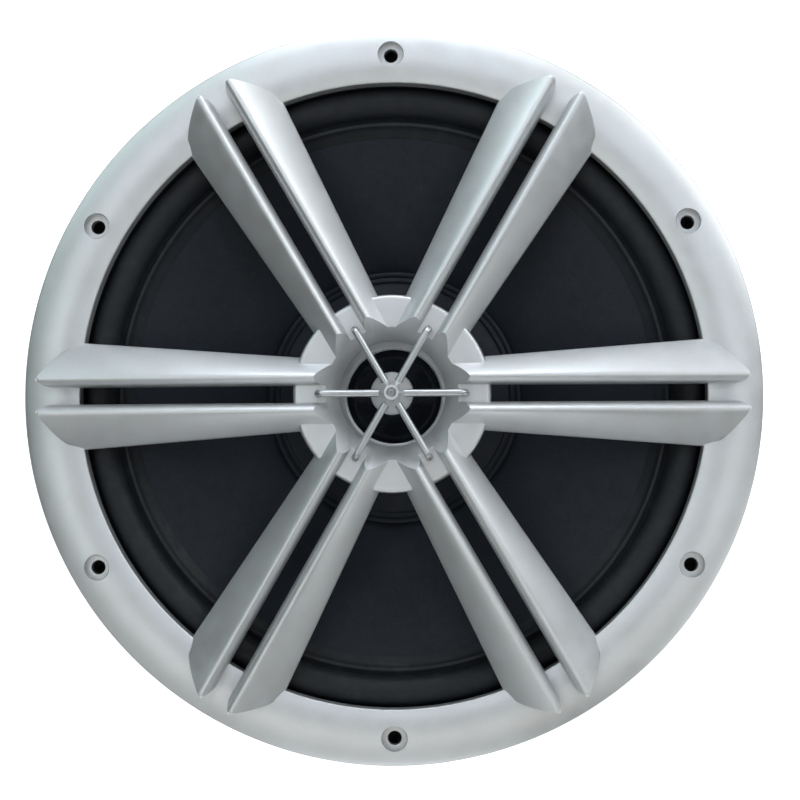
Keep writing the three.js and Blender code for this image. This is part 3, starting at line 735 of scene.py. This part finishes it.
def grille():
    """Ring, hub and blades: one moulding, with counterbored screw holes and a hole for each strut."""
    made = trim_ring()
    ring_face = ring_top(BOLT_CIRCLE_RADIUS)
    for i in range(6):
        place = (bolt_angle(i), BOLT_CIRCLE_RADIUS)
        cut(
            made,
            chamfered_hole(COUNTERBORE_RADIUS, COUNTERBORE_FLOOR, ring_face, *place),
            chamfered_hole(BOLT_HOLE_RADIUS, 140 * MM, COUNTERBORE_FLOOR, *place, 0.2 * MM),
        )
    plate = hub()
    for i in range(6):
        low, high = HUB_FACE - 3 * MM, HUB_FACE + 5 * MM
        foot = polar(STRUT_FOOT, SIXTH * i)
        cut(plate, cylinder("strut_hole", STRUT_RADIUS + 0.06 * MM, low, high, *foot))
    blades = []
    for pair in range(6):
        for side in (1, -1):
            blades.append(turn(cut(blade(side), horn_cutter()), SIXTH * pair))
    join(made, plate, *blades)
    reshade(made, 30)
    names = [f"blade_{pair}{half}" for pair in range(1, 7) for half in "ab"]
    return dress(made, "silver_paint", FRAME, "trim_ring", "hub_collar", *names)


# ---- Bullet, its screw and its struts ----------------------------------------------------------------

STRUT_RADIUS = 1.6 * MM
STRUT_FOOT = 32.1 * MM
STRUT_LEVEL = 172.4 * MM
BULLET_NOSE = top("bullet")
SCREW_SEAT_RADIUS = 2.05 * MM
SCREW_SEAT_DEPTH = 2.2 * MM


def bullet():
    """A dome over a flared skirt. The struts enter its side."""
    low = bottom("bullet")
    profile = spline(
        [
            (0, low, 0),
            (5.5 * MM, low + 0.8 * MM, 0),
            (8.7 * MM, low + 3.9 * MM, 0),
            (9.35 * MM, low + 6.2 * MM, 0),
            (8.9 * MM, low + 7.6 * MM, 0),
            (7.2 * MM, low + 10.2 * MM, 0),
            (5.3 * MM, low + 13.4 * MM, 0),
            (3.95 * MM, low + 16.1 * MM, 0),
            (3.3 * MM, BULLET_NOSE - 0.35 * MM, 0),
            (2.8 * MM, BULLET_NOSE, 0),
            (0, BULLET_NOSE, 0),
        ],
        6,
    )
    outline = [(max(p.x, 0), min(p.y, BULLET_NOSE)) for p in profile]
    made = lathe("bullet", outline, 144, sharp=40)
    seat = BULLET_NOSE - SCREW_SEAT_DEPTH
    cut(
        made,
        chamfered_hole(SCREW_SEAT_RADIUS, seat, BULLET_NOSE, 0, 0, 0.12 * MM, 48),
        cylinder("bore", 1.5 * MM, 168 * MM, BULLET_NOSE + 2 * MM),
    )
    for i in range(6):
        ends = [(3.4 * MM, 0, STRUT_LEVEL), (12.4 * MM, 0, STRUT_LEVEL)]
        cut(made, turn(tube("socket", ends, STRUT_RADIUS + 0.12 * MM, 28), SIXTH * i))
    return dress(reshade(made, 40), "silver_paint", FRAME, "bullet")


def bullet_screw():
    """A hexagon socket head screw."""
    head_top = BULLET_NOSE - GAP
    seat = BULLET_NOSE - SCREW_SEAT_DEPTH + GAP
    corners = [
        (0, 169 * MM),
        (1.15 * MM, 169 * MM),
        (1.15 * MM, seat),
        (1.5 * MM, seat),
        (1.5 * MM, head_top, 0.3 * MM),
        (0, head_top),
    ]
    outline = rounded(corners, 4)
    made = lathe("bullet_screw", outline, 64)
    cut(made, cylinder("socket", 0.9 * MM, head_top - 1.0 * MM, head_top + MM, sides=6))
    return dress(reshade(made), "bright_steel", FRAME, "bullet_screw")


def strut(i):
    """A straight wire from the bullet, bent down into the hub."""
    start, bend = 3.9 * MM, 2.4 * MM
    corner = Vector((STRUT_FOOT, 0, STRUT_LEVEL))
    points = [Vector((x, 0, STRUT_LEVEL)) for x in np.linspace(start, STRUT_FOOT - bend, 5)]
    for k in range(1, 12):
        a = math.pi / 2 * k / 12
        points.append(corner + Vector((-bend + bend * math.sin(a), 0, -bend + bend * math.cos(a))))
    points += [Vector((STRUT_FOOT, 0, z)) for z in (STRUT_LEVEL - bend, HUB_FACE - 2.6 * MM)]
    made = turn(tube(f"strut_{i + 1}", points, STRUT_RADIUS, 28), SIXTH * i)
    return dress(made, "bright_steel", FRAME, f"strut_{i + 1}")


# ---- Cone, dust cap and suspension -------------------------------------------------------------------

CONE_NECK_RADIUS = 26.1 * MM
CONE_NECK = bottom("cone")
CONE_RIM_RADIUS = outer_radius("cone")
CONE_RIM = top("cone")
CAP_RADIUS = outer_radius("dust_cap")
CAP_TOP = top("dust_cap")


def cone_height(radius):
    along = max(0.0, (radius - CONE_NECK_RADIUS) / (CONE_RIM_RADIUS - CONE_NECK_RADIUS))
    return CONE_NECK + 3 * MM + (CONE_RIM - CONE_NECK - 3 * MM) * along**0.52


def cone():
    start, thickness = CONE_NECK_RADIUS + 1.5 * MM, 1.4 * MM
    radii = start + (CONE_RIM_RADIUS - start) * np.linspace(0, 1, 48) ** 1.4
    front = [(r, cone_height(r)) for r in radii]
    back = [(r, cone_height(r) - thickness) for r in radii[1:]]
    neck = [(CONE_NECK_RADIUS, CONE_NECK), (radii[0], CONE_NECK)]
    outline = [*neck, *back, *front[::-1], (CONE_NECK_RADIUS, cone_height(radii[0]) - MM)]
    return dress(lathe("cone", outline, 288), "cone_composite", MOVING, "cone")


def dust_cap():
    """A shallow dome with a flat seat for the bezel, glued to the cone at a rim with two beads."""
    foot = bottom("dust_cap")
    plateau = 28.5 * MM
    shell = 1.2 * MM
    dome_end = CAP_RADIUS - 5.5 * MM
    dome = []
    for t in np.linspace(0, 1, 22)[1:]:
        drop = (CAP_TOP - foot - 2.1 * MM) * t**1.35
        dome.append((plateau + (dome_end - plateau) * t, CAP_TOP - drop))
    inner_bead = [
        (CAP_RADIUS + MM * (1.15 * math.cos(a) - 4.2), foot + MM * (1.5 + 1.25 * math.sin(a)))
        for a in np.linspace(math.pi * 0.85, 0, 12)
    ]
    outer_bead = [
        (CAP_RADIUS + MM * (1.3 * math.cos(a) - 1.3), foot + MM * (1.0 + 0.85 * math.sin(a)))
        for a in np.linspace(math.pi * 0.9, 0, 12)
    ]
    upper = [(0, CAP_TOP), (plateau, CAP_TOP), *dome, *inner_bead, *outer_bead, (CAP_RADIUS, foot)]
    lower = [(r, z - shell) for r, z in [(0, CAP_TOP), (plateau, CAP_TOP), *dome]]
    return dress(disc("dust_cap", [*lower, *upper[::-1]], 240), "cone_composite", MOVING, "dust_cap")


def dust_cap_bezel():
    inner = 21.2 * MM
    outer, low, high = extent("dust_cap_bezel")
    corners = [
        (inner, low),
        (outer, low),
        (outer, high - 0.9 * MM, 0.4 * MM),
        (outer - 1.2 * MM, high - 0.25 * MM, 0.6 * MM),
        (inner + 1.0 * MM, high, 0.5 * MM),
        (inner, high - 0.6 * MM, 0.3 * MM),
    ]
    outline = rounded(corners, 4)
    return dress(lathe("dust_cap_bezel", outline), "silver_paint", MOVING, "dust_cap_bezel")


def dust_cap_lens():
    radius, low, high = extent("dust_cap_lens")
    edge = 0.7 * MM
    rise = high - low - edge
    angles = np.linspace(math.pi / 2, 0, 24)
    dome = [(radius * math.sin(a), low + edge + rise * math.cos(a)) for a in angles]
    outline = [(0, low), (radius, low), *dome]
    return dress(disc("dust_cap_lens", outline), "gloss_black", MOVING, "dust_cap_lens")


def bend_with_cone(piece, share):
    """Bakes a piece's transform into its mesh. share gives a vertex its part of the cone's travel; the shares
    are worked out but not used, so the piece does not bend.
    """
    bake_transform(piece)
    shares = [share(vertex.co) for vertex in piece.data.vertices]


def smooth_step(value, low, high):
    t = min(1.0, max(0.0, (value - low) / (high - low)))
    return t * t * (3 - 2 * t)


def surround():
    inner, outer, lip = 124.4 * MM, 138.2 * MM, outer_radius("surround")
    high, thick = top("surround"), 1.1 * MM
    landing = FLANGE_TOP - 3.7 * MM
    base = CONE_RIM + GAP
    middle, half = (inner + outer) / 2, (outer - inner) / 2

    def roll(offset, degrees):
        a = math.radians(degrees)
        lift = (landing - base) * (0.5 - 0.5 * math.cos(a))
        crown = high - offset - (landing + base) / 2
        return middle - (half - offset) * math.cos(a), base + lift + crown * math.sin(a)

    bead = [
        (inner + MM * (math.cos(a) - 2.6), base + thick + 0.5 * MM * math.sin(a))
        for a in np.linspace(0, math.pi, 9)
    ]
    over = [roll(0, d) for d in np.linspace(4, 176, 40)]
    under = [roll(thick, d) for d in np.linspace(10, 170, 28)]
    foot_radius = 116 * MM
    foot = cone_height(foot_radius) + GAP
    outline = [
        (foot_radius, foot),
        (inner - 0.6 * MM, base),
        *under,
        (outer + 0.2 * MM, landing),
        (lip, landing),
        (lip, landing + thick),
        *over[::-1],
        *bead,
        (foot_radius + 3.0 * MM, cone_height(foot_radius + 3.0 * MM) + GAP + thick * 0.75),
        (foot_radius + 0.7 * MM, foot + thick * 0.4),
    ]
    piece = dress(lathe("surround", outline, 300, sharp=50), "surround_rubber", None, "surround")
    bend_with_cone(piece, lambda v: 1 - smooth_step(math.hypot(v.x, v.y), inner, outer))
    return piece


def spider():
    """A disc of corrugated cloth between the shelf and the voice coil."""
    inner, flat, outer = 26.1 * MM, 72.5 * MM, outer_radius("spider")
    level = (top("spider") + bottom("spider")) / 2
    start, folds, thick = 30.5 * MM, 7, 0.35 * MM
    line = [(inner, level)]
    for r in np.linspace(start, flat, folds * 14 + 1):
        wave = math.sin(TAU * folds * (r - start) / (flat - start))
        fade = smooth_step(r, start, start + 3 * MM) * (1 - smooth_step(r, flat - 3 * MM, flat))
        line.append((r, level + 1.55 * MM * wave * fade))
    line.append((outer, level))
    outline = [(r, z - thick) for r, z in line] + [(r, z + thick) for r, z in line[::-1]]
    piece = dress(lathe("spider", outline, 216, sharp=60), "spider_cloth", None, "spider")
    bend_with_cone(piece, lambda v: 1 - smooth_step(math.hypot(v.x, v.y), start, flat))
    return piece


def voice_coil():
    inner = 25.2 * MM
    _, low, high = extent("voice_coil_former")
    former = lathe("voice_coil_former", rectangle(inner, inner + 0.5 * MM, low, high, 0.1 * MM), 160)
    dress(former, "former_film", MOVING, "voice_coil_former")
    outer, low, high = extent("voice_coil_winding")
    core = inner + 0.8 * MM
    turns, per_turn = 56, 5
    outline = [(core, low)]
    for i in range(turns * per_turn + 1):
        swell = abs(math.sin(math.pi * i / per_turn))
        outline.append((outer - 0.18 * MM * (1 - swell), low + (high - low) * i / (turns * per_turn)))
    outline.append((core, high))
    dress(lathe("voice_coil_winding", outline, 144, sharp=70), "copper_wire", MOVING, "voice_coil_winding")


# ---- Basket ------------------------------------------------------------------------------------------

ARM_HALF_WIDTH = 9 * MM
SHELF = 90 * MM


def basket_bowl():
    low = bottom("basket")
    landing = FLANGE_TOP - 4 * MM
    under_flange = FLANGE_TOP - 6 * MM
    rim = outer_radius("basket")
    corners = [
        (rim, FLANGE_TOP, 0.8 * MM),
        (146.8 * MM, FLANGE_TOP, 0.5 * MM),
        (146.8 * MM, landing, 0.3 * MM),
        (139.2 * MM, landing, 1.2 * MM),
        (138.2 * MM, 126 * MM, 12 * MM),
        (130 * MM, 113 * MM, 10 * MM),
        (84 * MM, SHELF + 3 * MM, 2 * MM),
        (80.5 * MM, SHELF, 0.5 * MM),
        (73 * MM, SHELF, 0.8 * MM),
        (77 * MM, SHELF - 6 * MM, 2.5 * MM),
        (66 * MM, 62 * MM, 3 * MM),
        (36 * MM, 62 * MM, 0.6 * MM),
        (36 * MM, low, 0.6 * MM),
        (69 * MM, low, 0.8 * MM),
        (81 * MM, SHELF - 6 * MM, 6 * MM),
        (88 * MM, SHELF, 5 * MM),
        (134 * MM, 110 * MM, 12 * MM),
        (142 * MM, 125 * MM, 12 * MM),
        (143 * MM, under_flange, 1.5 * MM),
        (rim, under_flange, 0.8 * MM),
    ]
    outline = rounded(corners, 7)
    return lathe("basket", outline, 288)


def basket_window(i):
    """A wedge with rounded corners, whose sides run parallel to the arms beside it."""
    near, far = 91.5 * MM, 156 * MM

    def half(radius):
        return (radius - 2 * ARM_HALF_WIDTH) * math.tan(SIXTH / 2)

    corners = [
        (near, -half(near), 9 * MM),
        (far, -half(far)),
        (far, half(far)),
        (near, half(near), 9 * MM),
    ]
    return turn(prism("window", rounded(corners, 8), 86 * MM, 135 * MM), bolt_angle(i))


def can_vent(i):
    """A vent with rounded ends through the can's wall."""
    low, high, half, corner = 67 * MM, 81 * MM, 13 * MM, 5 * MM
    outline = rectangle(-half, half, low, high, corner, 6)
    rows = [[(x, y, z) for y, z in outline] for x in (60 * MM, 95 * MM)]
    return turn(loft("vent", rows), bolt_angle(i))


def arm_rib(i):
    """A tapered stiffening rib down the outside of an arm."""
    under_flange = FLANGE_TOP - 6 * MM
    corners = [
        (86 * MM, SHELF + 1.5 * MM),
        (80 * MM, 80 * MM, 3 * MM),
        (138 * MM, 104 * MM, 14 * MM),
        (144.6 * MM, 122 * MM, 8 * MM),
        (144.6 * MM, under_flange + MM),
        (141 * MM, under_flange + MM),
        (140 * MM, 125 * MM, 6 * MM),
        (132 * MM, 111 * MM, 6 * MM),
    ]
    profile = rounded(corners, 7)
    return turn(slab("rib", profile, -2 * MM, 2 * MM), SIXTH * i)


def soften(piece, width, angle=40, steps=2):
    """Rounds a finished piece's sharp edges."""
    modifier = piece.modifiers.new("soften", "BEVEL")
    modifier.width = width
    modifier.segments = steps
    modifier.limit_method = "ANGLE"
    modifier.angle_limit = math.radians(angle)
    modifier.harden_normals = False
    return apply_modifiers(piece)


BASKET_SCREW_CIRCLE = 56 * MM
TERMINAL_LOW, TERMINAL_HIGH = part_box("terminal_block")
BUTTON_X = 10 * MM
BUTTON_Z = 78.5 * MM
TERMINAL_SCREW_X = 22.2 * MM
TERMINAL_SCREW_Z = 76 * MM
TERMINAL_BACK = TERMINAL_HIGH.y
TERMINAL_FRONT = TERMINAL_BACK - 18.6 * MM
FACE_FRONT = Matrix.Rotation(math.pi / 2, 4, "X")  # turns +Z to -Y


def cross_cylinder(radius, near, far, x, z, sides=40):
    """A cylinder along Y."""
    made = cylinder("cross", radius, min(near, far), max(near, far), sides=sides)
    made.data.transform(Matrix.Translation((x, 0, z)) @ FACE_FRONT.inverted())
    return made


def box(name, low, high, edge=0.0, steps=3):
    """A rectangular block from its lowest to its highest corner, with rounded vertical edges."""
    return prism(name, rectangle(low[0], high[0], low[1], high[1], edge, steps), low[2], high[2])


def basket():
    made = basket_bowl()
    for i in range(6):
        join(made, arm_rib(i))
    terminal_side = 4  # the terminal block stands where this vent would be
    for i in range(6):
        cut(made, basket_window(i))
        if i != terminal_side:
            cut(made, can_vent(i))
    pad = box("pad", (-25 * MM, TERMINAL_BACK + GAP, 66 * MM), (25 * MM, -66 * MM, 88 * MM))
    inside = disc(
        "inside",
        [(0, 60 * MM), (66 * MM, 62 * MM), (77 * MM, SHELF - 6 * MM), (77 * MM, SHELF), (0, SHELF)],
        288,
    )
    join(made, cut(pad, inside))
    for i in range(6):
        x, y = polar(BOLT_CIRCLE_RADIUS, bolt_angle(i))
        cut(made, cylinder("flange_hole", BOLT_HOLE_RADIUS, FLANGE_TOP - 12 * MM, FLANGE_TOP + 5 * MM, x, y))
        x, y = polar(BASKET_SCREW_CIRCLE, SIXTH * i)
        cut(made, cylinder("screw_hole", 2.4 * MM, 50 * MM, 70 * MM, x, y))
    return dress(reshade(made, 35), "basket_coating", FRAME, "basket")


def pan_screw(name, head_radius, head_height, shank_radius, length, socket):
    """A screw along Z, with its seat at zero and its head up."""
    corners = [
        (0, -length),
        (shank_radius * 0.7, -length),
        (shank_radius, -length + 0.5 * MM),
        (shank_radius, 0),
        (head_radius, 0, 0.2 * MM),
        (head_radius, head_height * 0.55, head_radius * 0.25),
        (head_radius * 0.62, head_height, head_radius * 0.4),
        (0, head_height),
    ]
    outline = rounded(corners, 5)
    made = lathe(name, outline, 48)
    return reshade(cut(made, cylinder("socket", socket, head_height * 0.35, head_height + MM, sides=6)))


def basket_screws():
    length = 8.3 * MM
    seat = bottom("basket_screw_1") + length
    for i in range(6):
        made = pan_screw(f"basket_screw_{i + 1}", 4 * MM, 2.7 * MM, 1.9 * MM, length, 1.6 * MM)
        made.data.transform(Matrix.Translation((*polar(BASKET_SCREW_CIRCLE, SIXTH * i), seat)))
        dress(made, "black_screws", FRAME, f"basket_screw_{i + 1}")


def gasket(node, inner):
    return lathe(node, rectangle(inner, *extent(node)), 300)


def gaskets():
    """Foam rings. Only the one under the grille has holes: the mounting screws pierce the other."""
    grille_ring = gasket("grille_gasket", 146.6 * MM)
    low, high = bottom("grille_gasket") - MM, GASKET_TOP + MM
    for i in range(6):
        place = polar(BOLT_CIRCLE_RADIUS, bolt_angle(i))
        cut(grille_ring, cylinder("hole", BOLT_HOLE_RADIUS, low, high, *place))
    dress(reshade(grille_ring), "gasket_foam", FRAME, "grille_gasket")
    dress(gasket("mounting_gasket", 146 * MM), "gasket_foam", FRAME, "mounting_gasket")


# ---- Motor -------------------------------------------------------------------------------------------


def motor():
    outer, low, high = extent("top_plate")
    plate = lathe("top_plate", rectangle(28.6 * MM, outer, low, high, 0.7 * MM))
    for i in range(6):
        place = polar(BASKET_SCREW_CIRCLE, SIXTH * i)
        cut(plate, cylinder("hole", 2.3 * MM, low + 2.3 * MM, high + MM, *place))
    dress(reshade(plate), "plated_steel", FRAME, "top_plate")
    for name in ("magnet_upper", "magnet_lower"):
        dress(lathe(name, rectangle(35 * MM, *extent(name), 1.2 * MM)), "ferrite", FRAME, name)
    ring = lathe("shorting_ring", rectangle(24.4 * MM, *extent("shorting_ring")))
    dress(ring, "bare_aluminium", FRAME, "shorting_ring")


def t_yoke():
    outer, low, high = extent("t_yoke")
    plate_top, vent, pole = low + 10 * MM, 10 * MM, 24 * MM
    flare = [
        (vent + 3.5 * MM * (1 - math.sin(a)), low + 5.7 * MM * (1 - math.cos(a)))
        for a in np.linspace(math.pi / 2, 0, 10)
    ]
    corners = [
        (outer, low, 0.8 * MM),
        (outer, plate_top, 0.8 * MM),
        (pole, plate_top, 0.4 * MM),
        (pole, high, 1.5 * MM),
        (vent, high, 1.8 * MM),
        *flare,
    ]
    outline = rounded(corners, 5)
    return dress(lathe("t_yoke", outline), "plated_steel", FRAME, "t_yoke")


def magnet_boot():
    """A rubber cup round the magnets, with moulded grooves round its wall and under its base."""
    outer, high = outer_radius("magnet_boot"), top("magnet_boot")
    lip = 74.6 * MM
    under_lip = bottom("top_plate") + GAP
    inside = 78.5 * MM
    wall, under = [], []
    for level in (14 * MM, 26.5 * MM, 39 * MM):
        for across, depth in ((-1.6, 0), (-0.6, 1.1), (0.6, 1.1), (1.6, 0)):
            wall.append((outer - depth * MM, level + across * MM, 0.5 * MM))
    for radius in (62 * MM, 44 * MM, 27 * MM):
        for across, depth in ((1.6, 0), (0.7, 0.9), (-0.7, 0.9), (-1.6, 0)):
            under.append((radius + across * MM, depth * MM, 0.4 * MM))
    corners = [
        *under,
        (14.5 * MM, 0, 0.8 * MM),
        (14.5 * MM, 3 * MM, 0.6 * MM),
        (inside, 3 * MM, 0.5 * MM),
        (inside, under_lip, 0.3 * MM),
        (lip, under_lip, 0.5 * MM),
        (lip, high, 1.0 * MM),
        (outer, high, 3.0 * MM),
        *wall[::-1],
        (outer, 0, 2.2 * MM),
    ]
    outline = rounded(corners, 4)
    return dress(lathe("magnet_boot", outline, 288), "boot_rubber", FRAME, "magnet_boot")


# ---- Terminals and leads -----------------------------------------------------------------------------


def terminal_block():
    """A block with ears for its screws, a fence between the buttons and grip grooves down its sides."""
    back, front = TERMINAL_BACK, TERMINAL_FRONT
    low, high = TERMINAL_LOW.z, TERMINAL_HIGH.z
    half, ear = 19 * MM, TERMINAL_HIGH.x
    ear_low, ear_high = TERMINAL_SCREW_Z - 5 * MM, TERMINAL_SCREW_Z + 5 * MM
    made = box("terminal_block", (-half, front, low), (half, back, high), 1.4 * MM, 4)
    ears = box("ears", (-ear, back - 3 * MM, ear_low), (ear, back, ear_high), MM)
    fence_low = (-1.2 * MM, TERMINAL_LOW.y, low + 2 * MM)
    join(made, ears, box("fence", fence_low, (1.2 * MM, front + MM, high - 2 * MM), 0.5 * MM))
    for side in (-1, 1):
        inside, outside = side * (half - 0.7 * MM), side * (half + MM)
        for i in range(3):
            groove = front + (4 + 3.2 * i) * MM
            corner = (min(inside, outside), groove, low - MM)
            cut(made, box("grip", corner, (max(inside, outside), groove + 1.2 * MM, high + MM)))
        x = side * BUTTON_X
        slot_low = (x - 2.6 * MM, back - 4 * MM, high - 6 * MM)
        screw_x = side * TERMINAL_SCREW_X
        cut(
            made,
            cross_cylinder(5.0 * MM, front + 13 * MM, front - 6 * MM, x, BUTTON_Z),
            cylinder("wire_hole", 1.9 * MM, low - 2 * MM, BUTTON_Z + 2 * MM, x, front + 3 * MM, 24),
            box("tab_slot", slot_low, (x + 2.6 * MM, back - 2.4 * MM, high + 2 * MM)),
            cross_cylinder(1.9 * MM, back + 2 * MM, back - 5 * MM, screw_x, TERMINAL_SCREW_Z, 24),
        )
    soften(made, 0.35 * MM, 50)
    return dress(reshade(made, 40), "terminal_moulding", FRAME, "terminal_block")


def push_button(label, side):
    """A shaft with a dished face and two grip rings, and a cross hole for the bare wire."""
    node = f"push_button_{label}"
    low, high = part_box(node)
    length = high.y - low.y
    radius = 4.6 * MM
    face = [(radius * 0.72 * (1 - t), length - 0.7 * MM * (1 - (1 - t) ** 2)) for t in np.linspace(0, 1, 9)]
    corners = [
        (0, 0),
        (radius, 0, 0.3 * MM),
        (radius, length - 3.9 * MM, 0.15 * MM),
        (radius - 0.35 * MM, length - 3.5 * MM, 0.15 * MM),
        (radius - 0.35 * MM, length - 3.1 * MM, 0.15 * MM),
        (radius, length - 2.7 * MM, 0.15 * MM),
        (radius, length, 0.9 * MM),
        *face,
    ]
    outline = rounded(corners, 3)
    made = lathe(node, outline, 64, sharp=40)
    place = Matrix.Translation((side * BUTTON_X, high.y, BUTTON_Z))
    made.data.transform(place @ FACE_FRONT)
    reach, wire = 8 * MM, 1.6 * MM
    wire_place = (side * BUTTON_X, TERMINAL_FRONT - wire)
    cut(made, cylinder("wire", wire, BUTTON_Z - reach, BUTTON_Z + reach, *wire_place, 28))
    slot = "red_button" if side > 0 else "black_button"
    return dress(reshade(made, 40), slot, f"button_{label}", node)


def button_spring(label, side):
    """A coil round the Y axis through the button."""
    node = f"button_spring_{label}"
    low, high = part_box(node)
    wire, radius = 0.4 * MM, 3 * MM
    coils, per_coil = 4, 24
    points = []
    for i in range(coils * per_coil + 1):
        x, z = polar(radius, TAU * i / per_coil)
        depth = low.y + wire + (high.y - low.y - 2 * wire) * i / (coils * per_coil)
        points.append((side * BUTTON_X + x, depth, BUTTON_Z + z))
    made = dress(tube(node, points, wire, 12), "plated_steel", None, node)
    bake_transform(made)
    return made


def solder_tab(label, side):
    """A flat tab with rounded corners and an eye for the lead."""
    node = f"solder_tab_{label}"
    low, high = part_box(node)
    corner = 1.6 * MM
    corners = [(low.x, low.z), (high.x, low.z), (high.x, high.z, corner), (low.x, high.z, corner)]
    made = slab(node, rounded(corners, 6), low.y, high.y)
    cut(made, cross_cylinder(0.9 * MM, low.y - MM, high.y + MM, (low.x + high.x) / 2, high.z - 5 * MM, 20))
    soften(made, 0.12 * MM, 50)
    return dress(reshade(made), "tab_brass", FRAME, node)


def lead(label, side):
    """A tinned braid in a slack arch from its solder tab to the underside of the cone."""
    node = f"lead_{label}"
    x = side * BUTTON_X
    start_y = TERMINAL_BACK - 1.6 * MM
    end_y = -50 * MM
    route = [
        (x, start_y, TERMINAL_HIGH.z + 10 * MM),
        (x, -83 * MM, 103.5 * MM),
        (x * 0.95, -72 * MM, 104 * MM),
        (x * 0.9, -60 * MM, 108 * MM),
        (x * 0.85, end_y, cone_height(50.7 * MM) - 3.1 * MM),
    ]
    points = spline(route, 14)
    made = dress(tube(node, points, 0.8 * MM, 16), "lead_braid", None, node)
    bend_with_cone(made, lambda v: smooth_step(v.y, start_y, end_y))
    return made


def terminals():
    terminal_block()
    for label, side in (("positive", 1), ("negative", -1)):
        push_button(label, side)
        button_spring(label, side)
        solder_tab(label, side)
        lead(label, side)
        node = f"terminal_screw_{label}"
        low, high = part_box(node)
        seat = TERMINAL_BACK - 3.3 * MM
        made = pan_screw(node, 3 * MM, seat - low.y, 1.3 * MM, high.y - seat, 1.1 * MM)
        place = Matrix.Translation((side * TERMINAL_SCREW_X, seat, TERMINAL_SCREW_Z))
        made.data.transform(place @ FACE_FRONT)
        dress(made, "black_screws", FRAME, node)


# ---- Stage: floor, light and camera ------------------------------------------------------------------


def floor():
    """A white card that glows a little, as a cut-out on white has no shadow."""
    half = 20.0
    mesh = bpy.data.meshes.new("floor")
    corners = [(-half, -half, 0), (half, -half, 0), (half, half, 0), (-half, half, 0)]
    mesh.from_pydata(corners, [], [(0, 1, 2, 3)])
    made = bpy.data.objects.new("floor", mesh)
    bpy.context.scene.collection.objects.link(made)
    card = Surface("floor_card", (0.86, 0.86, 0.86), 0.7)
    card.tint(card.noise(0.05, 3), (0.875, 0.875, 0.875))
    card.shader.inputs["Emission Color"].default_value = (1, 1, 1, 1)
    card.shader.inputs["Emission Strength"].default_value = 0.9
    made.data.materials.append(card.material)


def area_light(name, power, size, place, target, color=(1, 1, 1)):
    light = bpy.data.lights.new(name, "AREA")
    light.energy = power
    light.shape = "RECTANGLE"
    light.size, light.size_y = size
    light.color = color
    made = bpy.data.objects.new(name, light)
    bpy.context.scene.collection.objects.link(made)
    made.location = place
    made.rotation_euler = (Vector(target) - Vector(place)).to_track_quat("-Z", "Y").to_euler()
    return made


def backdrop():
    """A pale backdrop beyond the floor, which lights nothing."""
    world = bpy.data.worlds.new("studio")
    bpy.context.scene.world = world
    world.use_nodes = True
    nodes, links = world.node_tree.nodes, world.node_tree.links
    background = nodes["Background"]
    background.inputs["Color"].default_value = (0.93, 0.94, 0.95, 1)
    path = nodes.new("ShaderNodeLightPath")
    links.new(path.outputs["Is Camera Ray"], background.inputs["Strength"])


def lights():
    """Soft boxes all round the grille, a little cooler and stronger beyond its top."""
    middle = (0, 0, RING_CREST)
    high, side, low = (0.4, 0.4), (0.6, 0.4), (0.28, 0.2)
    soft_boxes = [
        # name, power in watts, size, azimuth, distance from the axis, height over the grille, colour
        ("high_right", 0.9, high, 0, 0.45, 0.95, (0.92, 0.95, 1.0)),
        ("high_back_right", 0.8, high, 60, 0.45, 0.95, (0.8, 0.9, 1.0)),
        ("high_back_left", 1.0, high, 120, 0.45, 0.95, (0.92, 0.92, 1.0)),
        ("high_left", 0.9, high, 180, 0.45, 0.95, (0.88, 1.0, 0.97)),
        ("high_front_left", 0.88, high, 240, 0.45, 0.95, (1.0, 1.0, 1.0)),
        ("high_front_right", 0.6, high, 300, 0.45, 0.95, (1.0, 0.98, 0.9)),
        ("side_back_right", 1.88, side, 45, 0.8, 0.5, (0.97, 1.0, 0.98)),
        ("side_back_left", 1.35, side, 135, 0.8, 0.5, (0.8, 1.0, 1.0)),
        ("side_front_left", 0.6, side, 225, 0.8, 0.5, (0.95, 1.0, 1.0)),
        ("low_back", 0.85, low, 90, 0.42, 0.17, (0.88, 0.93, 1.0)),
        ("low_right", 0.3, low, 30, 0.42, 0.17, (0.88, 0.94, 1.0)),
        ("low_front_right", 0.27, low, 330, 0.42, 0.17, (0.95, 1.0, 1.0)),
        ("low_front", 0.31, low, 270, 0.42, 0.17, (0.93, 0.98, 1.0)),
    ]
    for name, power, size, azimuth, distance, height, color in soft_boxes:
        place = (*polar(distance, math.radians(azimuth)), RING_CREST + height)
        area_light(name, power, size, place, middle, color)


def camera():
    """Looks down on the grille from a little below and to the right of its axis, as the photograph does."""
    data = bpy.data.cameras.new("camera")
    data.lens = 95.0
    data.sensor_width = 36.0
    data.clip_start, data.clip_end = 0.05, 20
    made = bpy.data.objects.new("camera", data)
    bpy.context.scene.collection.objects.link(made)
    distance = 0.9255
    tilt_down, tilt_right, roll = math.radians(2.2), math.radians(1.4), math.radians(-0.33)
    target = Vector((3.3 * MM, -2.55 * MM, RING_CREST))
    back = Vector((math.sin(tilt_right), -math.sin(tilt_down), 1)).normalized()
    upward = Vector((0, 1, 0))
    right = upward.cross(back).normalized()
    upward = back.cross(right)
    axes = Matrix((right, upward, back)).transposed().to_4x4()
    made.matrix_world = Matrix.Translation(target + back * distance) @ axes @ Matrix.Rotation(roll, 4, "Z")
    bpy.context.scene.camera = made


bpy.context.scene.view_settings.view_transform = "Standard"

grille()
bullet()
bullet_screw()
for number in range(6):
    strut(number)
cone()
dust_cap()
dust_cap_bezel()
dust_cap_lens()
surround()
spider()
voice_coil()
basket()
basket_screws()
gaskets()
motor()
t_yoke()
magnet_boot()
terminals()
floor()
backdrop()
lights()
camera()
